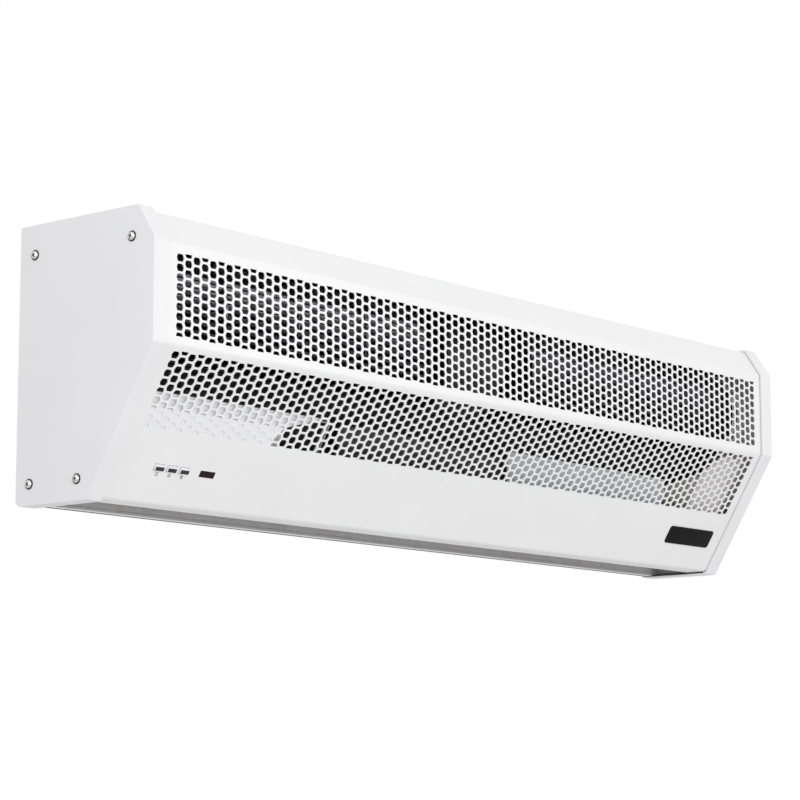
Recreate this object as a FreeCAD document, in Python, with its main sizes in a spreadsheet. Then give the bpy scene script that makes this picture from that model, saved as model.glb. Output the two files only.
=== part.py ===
import FreeCAD, Part
import math
import os
import re
import Sketcher

# A wall-hung air curtain with a cross-flow fan. The origin is the middle of the wall rail's holes, in the
# plane of the wall. X runs along the unit, the front faces -Y and Z is up.

# Driving dimensions in millimetres, each with what it measures.
DIMENSIONS = (
    ("length", 900, "between the outer faces of the end caps"),
    ("depth", 157, "from the wall to the upright front of the end caps"),
    ("height", 232, "from the foot to the top of the end caps"),
    ("top_rise", 76, "top of the end caps above the origin"),
    ("chamfer_depth", 18.8, "bevel at the top front, measured along Y"),
    ("chamfer_height", 28.1, "bevel at the top front, measured along Z"),
    ("front_height", 84.5, "upright front between the bevel and the slanted face"),
    ("foot_depth", 84.1, "from the wall to the front of the foot"),
    ("fit_gap", 0.2, "room left between pieces that are set in place"),

    ("cap_width", 17, "flange of an end cap along X"),
    ("cap_wall", 2.5, "wall of an end cap"),
    ("cap_gap", 0.3, "room between an end cap's flange and the sheet inside it"),
    ("cap_edge", 1.2, "bevel of an end cap's rim"),
    ("corner_round", 2.5, "rounding of an end cap's front corners"),
    ("foot_round", 6, "rounding of an end cap's rear foot"),
    ("cap_screw_rear", 18, "upper rear screw from the wall"),
    ("cap_screw_heel", 16.5, "lower rear screw from the wall"),
    ("cap_screw_front", 25.4, "upper front screw behind the upright front"),
    ("cap_screw_foot", 11.5, "lower front screw behind the front of the foot"),
    ("cap_screw_high", 25.4, "upper screws below the top"),
    ("cap_screw_low", 17.6, "lower screws above the foot"),
    ("screw_shank", 4, "diameter of a screw"),
    ("screw_head", 8, "diameter of a screw's head"),
    ("screw_rise", 2.4, "height of a screw's head"),
    ("screw_dome", 1.4, "slope of a screw's head towards its top"),
    ("screw_length", 10, "length of a screw under its head"),

    ("cover_sheet", 1, "thickness of the front cover"),
    ("cover_bend", 1.5, "inner radius of the cover's folds"),
    ("lip_back", 61, "rear edge of the cover's bottom lip from the wall"),
    ("mesh_margin", 28, "from an end of the cover to its perforated fields"),
    ("mesh_drop", 36.9, "upper field's edge below the top of the end caps"),
    ("mesh_lift", 8, "upper field's lower edge above the fold"),
    ("mesh_height", "=front_height + chamfer_height - mesh_drop - mesh_lift", "height of the upper field"),
    ("mesh_start", 5.6, "lower field's edge below the fold"),
    ("mesh_foot", 64.2, "lower field's lower edge above the slope's foot"),
    ("mesh_pairs", 11, "pairs of columns of holes in a field, a count"),
    ("mesh_rows", 2, "holes in a column, a count"),
    ("mesh_bar", 6, "bar between two holes of a column"),

    ("panel_sheet", 1.2, "thickness of the back panel and the end plates"),
    ("panel_setback", 26.2, "back panel's top flange behind the bevel"),
    ("panel_top_front", "=depth - chamfer_depth - panel_setback",
     "front edge of the back panel's top flange from the wall"),
    ("top_lap", 12, "lap of the cover's top flange on the back panel's"),
    ("cover_top_back", "=panel_top_front - top_lap", "rear edge of the cover's top flange from the wall"),
    ("rear_lip", 15, "front edge of the back panel's bottom flange from the wall"),
    ("channel_depth", 8, "depth of the hanging channel in the back panel"),
    ("channel_drop", 36, "lower side of the channel below the origin"),
    ("channel_rise", 38, "ledge of the channel above the origin"),

    ("rail_wall", 2, "thickness of the wall rail"),
    ("rail_length", 560, "length of the wall rail"),
    ("rail_drop", 32, "lower edge of the wall rail below the origin"),
    ("rail_hole", 7, "diameter of the wall rail's holes"),
    ("rail_hole_end", 30, "wall rail's holes from its ends"),
    ("rail_hole_span", "=rail_length - 2 * rail_hole_end", "spacing of the wall rail's holes along X"),
    ("rail_hole_rows", 40, "spacing of the wall rail's holes along Z"),

    ("fan_rise", 8, "axis of the fan above the origin"),
    ("fan_back", 30, "from the wall to the impellers"),
    ("fan_front", 27, "from the impellers to the upright front of the end caps"),
    ("fan_top", 18, "from the impellers to the top of the end caps"),
    ("impeller_radius", "=min((depth - fan_back - fan_front) / 2; top_rise - fan_rise - fan_top)",
     "outer radius of an impeller"),
    ("fan_depth", "=fan_back + impeller_radius", "axis of the fan from the wall"),
    ("impeller_inner", 75, "inner end of an impeller from the middle"),
    ("impeller_room", 19.3, "room between an impeller and its end plate"),
    ("impeller_length", "=length / 2 - cap_wall - panel_sheet - impeller_room - impeller_inner",
     "length of an impeller"),
    ("disc_wall", 2, "thickness of an impeller's discs"),
    ("blade_band", 11, "blades' inner edges inside the discs' rims"),
    ("blade_inner", "=impeller_radius - blade_band", "radius of the blades' inner edges"),
    ("blade_sink", 8, "centre of a blade's curve inside the discs' rims"),
    ("blade_centre", "=impeller_radius - blade_sink", "centre of a blade's curve from the fan's axis"),
    ("blade_radius", 14, "radius of a blade's curve"),
    ("blade_wall", 1, "thickness of a blade"),
    ("blade_setback", 0.5, "blades' outer edges inside the discs' rims"),
    ("blade_count", 10, "blades round an impeller, a count"),
    ("hub_radius", 13, "radius of an impeller's hubs"),
    ("hub_length", 22, "length of an impeller's hubs"),
    ("shaft_radius", 6, "radius of the motor's shaft"),
    ("journal_radius", 5, "radius of the outer journals"),
    ("running_gap", 0.05, "radial room of a shaft in its bearing"),

    ("bearing_radius", 9, "outer radius of an outer bearing"),
    ("bearing_width", 8, "width of an outer bearing"),
    ("mount_radius", 16, "outer radius of a rubber bearing mount"),
    ("mount_width", 10, "width of a rubber bearing mount inside its end plate"),

    ("motor_room", 6, "motor's barrel inside the impellers' rims"),
    ("motor_radius", "=impeller_radius - motor_room", "radius of the motor"),
    ("motor_half", 45, "half the length of the motor's barrel"),
    ("motor_bevel", 6, "bevel at the ends of the motor"),
    ("boss_radius", 18, "radius of the motor's bearing bosses"),
    ("boss_length", 17, "length of the motor's bearing bosses"),
    ("ring_radius", 25, "outer radius of the motor's rubber rings"),
    ("ring_width", 8, "width of the motor's rubber rings"),
    ("partition_middle", 55, "near face of a partition from the middle"),
    ("partition_sheet", 1.5, "thickness of a partition"),

    ("scroll_room", 10, "rear scroll's radius beyond the impellers'"),
    ("scroll_radius", "=impeller_radius + scroll_room", "inner radius of the rear scroll"),
    ("scroll_rise", 4, "centre of the rear scroll above the origin"),
    ("scroll_reach", 23, "front end of the rear scroll before the fan's axis"),
    ("scroll_front", "=fan_depth + scroll_reach", "front end of the rear scroll from the wall"),
    ("scroll_sheet", 1, "thickness of the rear scroll and the outlet guide"),
    ("scroll_seat", 1, "scroll's wall behind the bottom flange's edge"),
    ("guide_foot", 14, "foot of the outlet guide on the cover's lip"),
    ("tongue_front", 54, "tongue of the outlet guide behind the upright front"),
    ("tongue_reach", 23, "tongue of the outlet guide before the fan's axis"),
    ("tongue_depth", "=min(depth - tongue_front; fan_depth + tongue_reach)",
     "tongue of the outlet guide from the wall"),
    ("tongue_drop", 42, "tongue of the outlet guide below the origin"),
    ("tongue_bead", 2.5, "radius of the tongue's rolled edge"),

    ("heater_depth", 50, "middle of the heater tubes from the wall"),
    ("heater_drop", 88, "heater tubes below the origin"),
    ("heater_pitch", 24, "spacing of the heater tubes"),
    ("heater_radius", 4.5, "radius of a heater tube"),
    ("heater_end", 20, "ends of the heater tubes from the ends of the unit"),
    ("heater_length", "=length - 2 * heater_end", "length of a heater tube"),
    ("bracket_end", 50, "heater brackets from the ends of the unit"),
    ("bracket_middle", "=length / 2 - bracket_end", "heater brackets from the middle"),
    ("bracket_sheet", 1.5, "thickness of a heater bracket"),
    ("bracket_rise", 26, "top of a heater bracket above the tubes"),
    ("bracket_fall", 14, "bottom of a heater bracket below the tubes"),
    ("cutout_radius", 7, "radius of the thermal cut-out"),
    ("cutout_height", 6, "height of the thermal cut-out"),

    ("box_wall", 1, "wall of the control and terminal boxes"),
    ("box_inset", 8, "front rim of the terminal box behind the slanted face"),
    ("control_inset", 6, "front rim of the control box behind the slanted face"),
    ("control_end", 245, "inner end of the control box from the left end of the unit"),
    ("control_top", 92.5, "top of the control box above the slope's foot"),
    ("control_foot", 43.5, "foot of the control box above the slope's foot"),
    ("control_depth", 21, "depth of the control box"),
    ("terminal_end", 375, "inner end of the terminal box from the right end of the unit"),
    ("terminal_top", 71.5, "top of the terminal box above the slope's foot"),
    ("terminal_foot", 25.5, "foot of the terminal box above the slope's foot"),
    ("terminal_depth", 16, "depth of the terminal box"),
    ("board_sheet", 1.6, "thickness of the circuit boards"),
    ("board_lift", 3, "height of the control board above its box"),
    ("board_margin", 4, "room round the control board"),
    ("relay_side", 15, "side of a relay on the control board"),
    ("relay_height", 9, "height of a relay on the control board"),
    ("block_length", 70, "length of the terminal block"),
    ("block_height", 20, "height of the terminal block"),
    ("block_depth", 12, "depth of the terminal block"),
    ("block_ways", 5, "ways of the terminal block, a count"),
    ("way_side", 6, "side of a way in the terminal block"),
    ("capacitor_length", 46, "length of the run capacitor"),
    ("capacitor_height", 26, "height of the run capacitor"),
    ("capacitor_depth", 12, "depth of the run capacitor"),
    ("inner_margin", 20, "from the terminal box's end to what is in it"),

    ("key_end", 65.1, "first key from the left end of the unit"),
    ("key_pitch", 14.2, "spacing of the keys"),
    ("key_slope", 32.8, "middle of the keys above the slope's foot"),
    ("key_width", 10.4, "width of a key"),
    ("key_height", 5.4, "height of a key"),
    ("key_rise", 1.5, "key above the slanted face"),
    ("key_gap", 0.3, "room round a key in the cover"),
    ("key_flange", 1.2, "thickness and overlap of a key's flange"),
    ("key_stem", 2, "length of a key's stem"),
    ("key_travel", 0.8, "travel of a key"),
    ("stop_gap", 0.3, "room between a pressed key and its switch"),
    ("plunger_side", 3, "side of a switch's plunger and a key's stem"),
    ("plunger_rise", 0.9, "height of a switch's plunger"),
    ("switch_side", 6, "side of a switch"),
    ("switch_height", 2.5, "height of a switch"),
    ("key_board_reach", 18, "key board beyond the outer keys and the window"),
    ("key_board_height", 18, "height of the key board"),
    ("post_radius", 2.5, "radius of a key board's post"),
    ("post_margin", 5, "post from the end of the key board"),
    ("window_end", 120.7, "receiver window from the left end of the unit"),
    ("window_slope", 32.1, "middle of the receiver window above the slope's foot"),
    ("window_width", 17.2, "width of the receiver window"),
    ("window_height", 5.7, "height of the receiver window"),
    ("window_flange", 1.5, "overlap of the window's flange behind the cover"),
    ("receiver_width", 10, "width of the infrared receiver"),
    ("receiver_height", 6, "height of the infrared receiver"),
    ("receiver_depth", 4, "depth of the infrared receiver"),

    ("gland_end", 100, "cable gland from the right end of the unit"),
    ("gland_middle", "=length / 2 - gland_end", "cable gland from the middle"),
    ("gland_depth", 45, "cable gland from the wall"),
    ("gland_radius", 10, "radius of the gland's thread"),
    ("gland_hex", 14, "radius of the gland's hexagons over their corners"),
    ("gland_collar", 5, "height of the gland's hexagons"),
    ("gland_neck", 8, "height of the gland above its hexagon"),
    ("gland_bore", 5, "radius of the gland's bore"),
)

LEFT = -1
RIGHT = 1
START = 10.0
NEAR = 0.01
FULL_TURN = 360
HEX_SIDES = 6
KEY_COUNT = 3
RELAY_COUNT = 3
THROUGH = "4 * %s"
ALONG = FreeCAD.Vector(1, 0, 0)
ACROSS = FreeCAD.Vector(0, 1, 0)
UP = FreeCAD.Vector(0, 0, 1)

doc = FreeCAD.newDocument("AirCurtain")
sheet = doc.addObject("Spreadsheet::Sheet", "Sizes")
for row, (alias, value, meaning) in enumerate(DIMENSIONS, 1):
    sheet.set("A%d" % row, meaning)
    sheet.set("B%d" % row, str(value))
    sheet.setAlias("B%d" % row, alias)
doc.recompute()

NAMES = re.compile(r"\b(%s)\b" % "|".join(alias for alias, value, meaning in DIMENSIONS))
pieces = []


# Formulas that several pieces share
SLANT = "atan((depth - foot_depth) / (height - chamfer_height - front_height))"
BEVEL = "atan(chamfer_height / chamfer_depth)"
COVER = "(cap_wall + cap_gap)"
FOOT = "(top_rise - height + %s)" % COVER
SLOPE = "((depth - foot_depth - %s * (1 - tan((90 deg - %s) / 2))) / sin(%s))" % (COVER, SLANT, SLANT)
COVER_HALF = "(length / 2 - cap_wall - cap_gap)"
PLATE_FACE = "(length / 2 - cap_wall - panel_sheet)"
INNER_HALF = "(%s - fit_gap)" % PLATE_FACE
PANEL_TOP = "(top_rise - %s - cover_sheet)" % COVER
TOP_INSIDE = "(%s - panel_sheet)" % PANEL_TOP
FLANGE_INSIDE = "(%s + panel_sheet)" % FOOT
LIP_INSIDE = "(%s + cover_sheet)" % FOOT
SCROLL_DEPTH = "(rear_lip - scroll_seat + scroll_radius)"
GUIDE_RISE = "(-tongue_drop - %s)" % LIP_INSIDE
GUIDE_TILT = "atan((tongue_depth - lip_back) / %s)" % GUIDE_RISE
GUIDE_LENGTH = "(%s / cos(%s))" % (GUIDE_RISE, GUIDE_TILT)
IMPELLER_END = "(impeller_inner + impeller_length)"
KEY_REACH = "cover_sheet + key_gap + key_flange + key_stem"
BOARD_FRONT = "(%s + key_travel + stop_gap + plunger_rise + switch_height)" % KEY_REACH
KEY_DOWN = "(%s - key_slope)" % SLOPE
WINDOW_DOWN = "(%s - window_slope)" % SLOPE
WINDOW_X = "(window_end - length / 2)"
CONTROL_X = "-%s" % INNER_HALF
CONTROL_LENGTH = "(control_end - length / 2 + %s)" % INNER_HALF
CONTROL_FOOT = "(%s - control_foot)" % SLOPE
CONTROL_TALL = "(control_top - control_foot)"
TERMINAL_X = "(length / 2 - terminal_end)"
TERMINAL_LENGTH = "(%s - %s)" % (INNER_HALF, TERMINAL_X)
TERMINAL_FOOT = "(%s - terminal_foot)" % SLOPE
TERMINAL_TALL = "(terminal_top - terminal_foot)"
TERMINAL_MIDDLE = "(%s - %s / 2)" % (TERMINAL_FOOT, TERMINAL_TALL)
TERMINAL_FLOOR = "(box_inset + terminal_depth - box_wall)"


def size(alias):
    """Value of one driving dimension."""
    return float(sheet.get(alias))


def formula(text):
    """Formula whose dimension names point into the sheet."""
    return NAMES.sub(r"Sizes.\1", text)


def bind(item, path, text):
    """Ties a length to a formula of driving dimensions."""
    item.setExpression(path, "(%s) * 1 mm" % formula(text))


def turn(item, path, axis, text):
    """Ties a rotation about an axis to a formula."""
    setattr(item, path, FreeCAD.Placement(FreeCAD.Vector(), FreeCAD.Rotation(axis, START)))
    item.setExpression(path + ".Rotation.Angle", formula(text))


def place(item, x, y, z):
    """Ties an object's place to three formulas."""
    for letter, text in zip("xyz", (x, y, z)):
        bind(item, "Placement.Base." + letter, text)


def keep(item, label):
    """Names an object as one piece of the unit."""
    item.Label = label
    pieces.append(item)
    return item


# Sections and sketches

def casing(inset):
    """Corners of the casing's section at an inset from the end caps' outside."""
    bevel_foot = "top_rise - chamfer_height"
    back = "-(%s)" % inset
    front = "(%s) - depth" % inset
    top = "top_rise - (%s)" % inset
    low = "top_rise - height + (%s)" % inset
    return {
        "rear_top": (back, top),
        "bevel_top": ("chamfer_depth - depth + (%s) * tan(%s / 2)" % (inset, BEVEL), top),
        "bevel_foot": (front, "%s - (%s) * tan((90 deg - %s) / 2)" % (bevel_foot, inset, BEVEL)),
        "fold": (front, "%s - front_height + (%s) * tan(%s / 2)" % (bevel_foot, inset, SLANT)),
        "foot": ("(%s) * tan((90 deg - %s) / 2) - foot_depth" % (inset, SLANT), low),
        "rear_foot": (back, low),
    }


def slope_point(inward, down):
    """Point inward from the cover's slanted face and down from its fold, as Y and Z."""
    fold_y, fold_z = casing(COVER)["fold"]
    y = "%s + (%s) * cos(%s) + (%s) * sin(%s)" % (fold_y, inward, SLANT, down, SLANT)
    z = "%s + (%s) * sin(%s) - (%s) * cos(%s)" % (fold_z, inward, SLANT, down, SLANT)
    return y, z


def new_body(label):
    return keep(doc.addObject("PartDesign::Body", label), label)


def origin_feature(body, role):
    return [item for item in body.Origin.OriginFeatures if item.Role == role][0]


def new_sketch(body, name, role, lift="0"):
    """Sketch on one of the body's origin planes, lifted along the plane's normal."""
    sketch = body.newObject("Sketcher::SketchObject", "%s_%s" % (body.Name, name))
    sketch.AttachmentSupport = (origin_feature(body, role), [""])
    sketch.MapMode = "FlatFace"
    bind(sketch, "AttachmentOffset.Base.z", lift)
    return sketch


def slope_sketch(body, name):
    """Sketch on the cover's slanted face: X along the unit, Y up the slope from its fold."""
    fold_y, fold_z = casing(COVER)["fold"]
    sketch = new_sketch(body, name, "XZ_Plane")
    turn(sketch, "AttachmentOffset", ALONG, SLANT)
    bind(sketch, "AttachmentOffset.Base.y", fold_z)
    bind(sketch, "AttachmentOffset.Base.z", "-(%s)" % fold_y)
    return sketch


def pin(sketch, geometry, vertex, across, up, start=(START, START)):
    """Ties a sketch point to two formulas measured from the sketch's origin."""
    for kind, text, value in (("DistanceX", across, start[0]), ("DistanceY", up, start[1])):
        index = sketch.addConstraint(Sketcher.Constraint(kind, -1, 1, geometry, vertex, value))
        bind(sketch, "Constraints[%d]" % index, text)


def add_loop(sketch, points):
    """Closed outline of straight lines through points given as pairs of formulas."""
    first = sketch.GeometryCount
    count = len(points)
    turns = [2 * math.pi * index / count for index in range(count)]
    ring = [FreeCAD.Vector(START * math.cos(a), START * math.sin(a), 0) for a in turns]
    for index in range(count):
        sketch.addGeometry(Part.LineSegment(ring[index], ring[(index + 1) % count]), False)
    for index in range(count):
        following = first + (index + 1) % count
        sketch.addConstraint(Sketcher.Constraint("Coincident", first + index, 2, following, 1))
    for index, (across, up) in enumerate(points):
        pin(sketch, first + index, 1, across, up)


def add_rectangle(sketch, across, up, width, tall):
    """Rectangle about a middle point."""
    left = "%s - (%s) / 2" % (across, width)
    right = "%s + (%s) / 2" % (across, width)
    low = "%s - (%s) / 2" % (up, tall)
    high = "%s + (%s) / 2" % (up, tall)
    add_loop(sketch, [(left, low), (right, low), (right, high), (left, high)])


def add_circle(sketch, across, up, radius):
    middle = FreeCAD.Vector(START, START, 0)
    index = sketch.addGeometry(Part.Circle(middle, UP, START), False)
    pin(sketch, index, 3, across, up)
    tie = sketch.addConstraint(Sketcher.Constraint("Radius", index, START))
    bind(sketch, "Constraints[%d]" % tie, radius)


# Features of a body

def pad(body, sketch, length, both=False, back=False):
    feature = body.newObject("PartDesign::Pad", sketch.Name + "_pad")
    feature.Profile = sketch
    feature.Midplane = both
    feature.Reversed = back
    bind(feature, "Length", length)
    doc.recompute()
    return feature


def pocket(body, sketch, length, both=False, back=False):
    feature = body.newObject("PartDesign::Pocket", sketch.Name + "_pocket")
    feature.Profile = sketch
    feature.Midplane = both
    feature.Reversed = back
    bind(feature, "Length", length)
    doc.recompute()
    return feature


def revolve(body, sketch):
    """Turns a half section round the sketch's horizontal axis."""
    feature = body.newObject("PartDesign::Revolution", sketch.Name + "_turned")
    feature.Profile = sketch
    feature.ReferenceAxis = (sketch, ["H_Axis"])
    feature.Angle = FULL_TURN
    doc.recompute()
    return feature


def dress_edges(body, name, kind, measure, value, wanted):
    """Fillets or bevels the tip's edges that a test picks out."""
    base = body.Tip
    edges = ["Edge%d" % n for n, edge in enumerate(base.Shape.Edges, 1) if wanted(edge)]
    feature = body.newObject(kind, "%s_%s" % (body.Name, name))
    feature.Base = (base, edges)
    bind(feature, measure, value)
    doc.recompute()
    return feature


def round_edges(body, name, radius, wanted):
    return dress_edges(body, name, "PartDesign::Fillet", "Radius", radius, wanted)


def bevel_edges(body, name, width, wanted):
    return dress_edges(body, name, "PartDesign::Chamfer", "Size", width, wanted)


def runs_at(spots):
    """Test for edges along X that stand on one of a section's corners."""
    def wanted(edge):
        box = edge.BoundBox
        thin = box.YLength < NEAR and box.ZLength < NEAR and box.XLength > NEAR
        near = [s for s in spots if abs(s.x - box.YMin) < NEAR and abs(s.y - box.ZMin) < NEAR]
        return thin and len(near) > 0
    return wanted


def on_end_face(edge):
    """Test for edges that lie in the plane at X 0."""
    return abs(edge.BoundBox.XMin) + abs(edge.BoundBox.XMax) < NEAR


def corners(sketch, chosen):
    """Solved places of some of an outline's points."""
    return [sketch.Geometry[index].StartPoint for index in chosen]


# Solids made of primitives

def box(name, x, y, z, along, deep, tall):
    solid = doc.addObject("Part::Box", name)
    bind(solid, "Length", along)
    bind(solid, "Width", deep)
    bind(solid, "Height", tall)
    place(solid, x, y, z)
    return solid


def slope_box(name, x, inward, down, along, deep, tall):
    """Box parallel to the slanted face. It starts at an inward distance and rises up the slope."""
    y, z = slope_point(inward, down)
    solid = box(name, x, y, z, along, deep, tall)
    turn(solid, "Placement", ALONG, SLANT)
    place(solid, x, y, z)
    return solid


def cylinder(name, x, y, z, radius, tall):
    solid = doc.addObject("Part::Cylinder", name)
    bind(solid, "Radius", radius)
    bind(solid, "Height", tall)
    place(solid, x, y, z)
    return solid


def along_cylinder(name, x, y, z, radius, along):
    """Cylinder whose axis runs along X."""
    solid = cylinder(name, x, y, z, radius, along)
    turn(solid, "Placement", ACROSS, "90 deg")
    place(solid, x, y, z)
    return solid


def prism(name, x, y, z, radius, tall):
    solid = doc.addObject("Part::Prism", name)
    solid.Polygon = HEX_SIDES
    bind(solid, "Circumradius", radius)
    bind(solid, "Height", tall)
    place(solid, x, y, z)
    return solid


def slope_prism(name, x, inward, down, radius, deep):
    """Six-sided post square to the slanted face, from an inward distance on."""
    y, z = slope_point(inward, down)
    solid = prism(name, x, y, z, radius, deep)
    turn(solid, "Placement", ALONG, "%s - 90 deg" % SLANT)
    place(solid, x, y, z)
    return solid


def cut(name, base, tool):
    solid = doc.addObject("Part::Cut", name)
    solid.Base = base
    solid.Tool = tool
    return solid


def fuse(name, shapes):
    solid = doc.addObject("Part::MultiFuse", name)
    solid.Shapes = shapes
    solid.Refine = True
    return solid


def common(name, shapes):
    solid = doc.addObject("Part::MultiCommon", name)
    solid.Shapes = shapes
    return solid


def group(name, shapes):
    """Several separate solids in one piece."""
    solid = doc.addObject("Part::Compound", name)
    solid.Links = shapes
    return solid


def signed(side, text):
    """Formula mirrored to the left or right half of the unit."""
    return "%d * (%s)" % (side, text)


def span(side, near, along):
    """Lower X of a piece that runs outward from a distance on one side."""
    return near if side == RIGHT else "-(%s) - (%s)" % (near, along)


# Casing

def cap_screw_places():
    """Screws of an end cap, as Y and Z."""
    high = "top_rise - cap_screw_high"
    low = "top_rise - height + cap_screw_low"
    return [
        ("-cap_screw_rear", high), ("cap_screw_front - depth", high),
        ("-cap_screw_heel", low), ("cap_screw_foot - foot_depth", low)]


def end_cap(label, side):
    """Moulded tray over one end of the body, with rounded rim and four screw holes."""
    body = new_body(label)
    outward = side == RIGHT
    outside = new_sketch(body, "outside", "YZ_Plane")
    add_loop(outside, list(casing("0").values()))
    pad(body, outside, "cap_width", back=outward)
    round_edges(body, "front_corners", "corner_round", runs_at(corners(outside, (1, 2, 3, 4))))
    round_edges(body, "rear_foot", "foot_round", runs_at(corners(outside, (5,))))
    bevel_edges(body, "rim", "cap_edge", on_end_face)
    inside = new_sketch(body, "inside", "YZ_Plane", signed(-side, "cap_wall"))
    add_loop(inside, list(casing("cap_wall").values()))
    pocket(body, inside, "cap_width", back=not outward)
    holes = new_sketch(body, "holes", "YZ_Plane")
    for y, z in cap_screw_places():
        add_circle(holes, y, z, "screw_shank / 2 + fit_gap")
    pocket(body, holes, THROUGH % "cap_wall", both=True)
    bind(body, "Placement.Base.x", signed(side, "length / 2"))


def screw_model():
    """Pan-head screw along +X with its seat at the origin and a six-sided shank in place of its thread."""
    body = doc.addObject("PartDesign::Body", "screw_model")
    half = new_sketch(body, "half", "XY_Plane")
    add_loop(half, [
        ("-screw_rise", "0"), ("-screw_rise", "screw_head / 2 - screw_dome"),
        ("0", "screw_head / 2"), ("0", "0")])
    revolve(body, half)
    shank = new_sketch(body, "shank", "YZ_Plane")
    turns = ["%d deg" % (FULL_TURN / HEX_SIDES * index) for index in range(HEX_SIDES)]
    add_loop(shank, [("screw_shank / 2 * cos(%s)" % a, "screw_shank / 2 * sin(%s)" % a) for a in turns])
    pad(body, shank, "screw_length")
    return body.Shape


def screw_group(label, screw, placements):
    """Separate copies of one screw."""
    copies = []
    for placement in placements:
        copy = screw.copy()
        copy.Placement = placement
        copies.append(copy)
    item = keep(doc.addObject("Part::Feature", label), label)
    item.Shape = Part.makeCompound(copies)


def end_cap_screws(screw):
    high = size("top_rise") - size("cap_screw_high")
    low = size("top_rise") - size("height") + size("cap_screw_low")
    spots = [
        (-size("cap_screw_rear"), high), (size("cap_screw_front") - size("depth"), high),
        (-size("cap_screw_heel"), low), (size("cap_screw_foot") - size("foot_depth"), low)]
    placements = []
    for side in (LEFT, RIGHT):
        heading = FreeCAD.Rotation(UP, 0 if side == LEFT else 180)
        for y, z in spots:
            placements.append(FreeCAD.Placement(FreeCAD.Vector(side * size("length") / 2, y, z), heading))
    screw_group("end_cap_screws", screw, placements)


def mesh_pair(sketch, top, tall):
    """Two staggered columns of six-sided holes at the left end of a field."""
    rows = int(size("mesh_rows"))
    row_pitch = "(%s / (mesh_rows + 0.5))" % tall
    column_pitch = "((2 * %s - 2 * mesh_margin) / (2 * mesh_pairs))" % COVER_HALF
    half_flat = "((%s - mesh_bar) / 2)" % row_pitch
    point = "(%s * 2 / sqrt(3))" % half_flat
    for column in (0, 1):
        across = "-%s + mesh_margin + %s * %s" % (COVER_HALF, column + 0.5, column_pitch)
        for row in range(rows):
            middle = "%s - %s * %s" % (top, row + 0.5 + column / 2, row_pitch)
            add_loop(sketch, [
                ("%s + %s" % (across, point), middle),
                ("%s + %s / 2" % (across, point), "%s + %s" % (middle, half_flat)),
                ("%s - %s / 2" % (across, point), "%s + %s" % (middle, half_flat)),
                ("%s - %s" % (across, point), middle),
                ("%s - %s / 2" % (across, point), "%s - %s" % (middle, half_flat)),
                ("%s + %s / 2" % (across, point), "%s - %s" % (middle, half_flat))])


def mesh_field(body, sketch, top, tall, deep):
    """One perforated field: a pair of columns repeated along the cover."""
    mesh_pair(sketch, top, tall)
    first = pocket(body, sketch, deep, both=True)
    rows = body.newObject("PartDesign::LinearPattern", sketch.Name + "_field")
    rows.Originals = [first]
    rows.Direction = (sketch, ["H_Axis"])
    bind(rows, "Length", "(2 * %s - 2 * mesh_margin) * (mesh_pairs - 1) / mesh_pairs" % COVER_HALF)
    rows.setExpression("Occurrences", formula("mesh_pairs"))
    body.Tip = rows
    doc.recompute()


def key_middles():
    """Middles of the three keys along X."""
    return ["key_end - length / 2 + %d * key_pitch" % index for index in range(KEY_COUNT)]


def front_cover():
    """Folded sheet with bevel, upright front, slanted face and bottom lip."""
    body = new_body("front_cover")
    section = new_sketch(body, "section", "YZ_Plane")
    outer = casing(COVER)
    inner = casing("%s + cover_sheet" % COVER)
    folds = ("bevel_top", "bevel_foot", "fold", "foot")
    top = outer["bevel_top"][1]
    points = [("-cover_top_back", top)] + [outer[fold] for fold in folds] + [("-lip_back", FOOT)]
    points += [("-lip_back", LIP_INSIDE)] + [inner[fold] for fold in reversed(folds)]
    points += [("-cover_top_back", "%s - cover_sheet" % top)]
    add_loop(section, points)
    pad(body, section, "2 * %s" % COVER_HALF, both=True)
    round_edges(body, "outer_folds", "cover_bend + cover_sheet", runs_at(corners(section, (1, 2, 3, 4))))
    round_edges(body, "inner_folds", "cover_bend", runs_at(corners(section, (7, 8, 9, 10))))

    controls = slope_sketch(body, "controls")
    key_opening = ("key_width + 2 * key_gap", "key_height + 2 * key_gap")
    for middle in key_middles():
        add_rectangle(controls, middle, "-%s" % KEY_DOWN, *key_opening)
    window_opening = ("window_width + fit_gap", "window_height + fit_gap")
    add_rectangle(controls, WINDOW_X, "-%s" % WINDOW_DOWN, *window_opening)
    pocket(body, controls, THROUGH % "cover_sheet", both=True)

    upper = new_sketch(body, "upper_mesh", "XZ_Plane", "depth")
    mesh_field(body, upper, "top_rise - mesh_drop", "mesh_height", THROUGH % "cap_wall")
    lower_height = "(%s - mesh_start - mesh_foot)" % SLOPE
    mesh_field(body, slope_sketch(body, "lower_mesh"), "-mesh_start", lower_height, THROUGH % "cover_sheet")


def back_panel():
    """Folded rear panel with bottom flange, hanging channel and top flange."""
    body = new_body("back_panel")
    section = new_sketch(body, "section", "YZ_Plane")
    back = "-%s" % COVER
    web = "-(%s + channel_depth)" % COVER
    back_inside = back + " - panel_sheet"
    web_inside = web + " - panel_sheet"
    ledge = "channel_rise + panel_sheet"
    sill = "-channel_drop - panel_sheet"
    add_loop(section, [
        ("-rear_lip", FOOT), (back, FOOT), (back, "-channel_drop"), (web, "-channel_drop"),
        (web, "channel_rise"), (back, "channel_rise"), (back, PANEL_TOP), ("-panel_top_front", PANEL_TOP),
        ("-panel_top_front", TOP_INSIDE), (back_inside, TOP_INSIDE), (back_inside, ledge),
        (web_inside, ledge), (web_inside, sill), (back_inside, sill), (back_inside, FLANGE_INSIDE),
        ("-rear_lip", FLANGE_INSIDE)])
    pad(body, section, "2 * %s" % COVER_HALF, both=True)
    holes = new_sketch(body, "holes", "XY_Plane", PANEL_TOP)
    add_circle(holes, "gland_middle", "-gland_depth", "gland_radius + fit_gap")
    pocket(body, holes, THROUGH % "panel_sheet", both=True)


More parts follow.
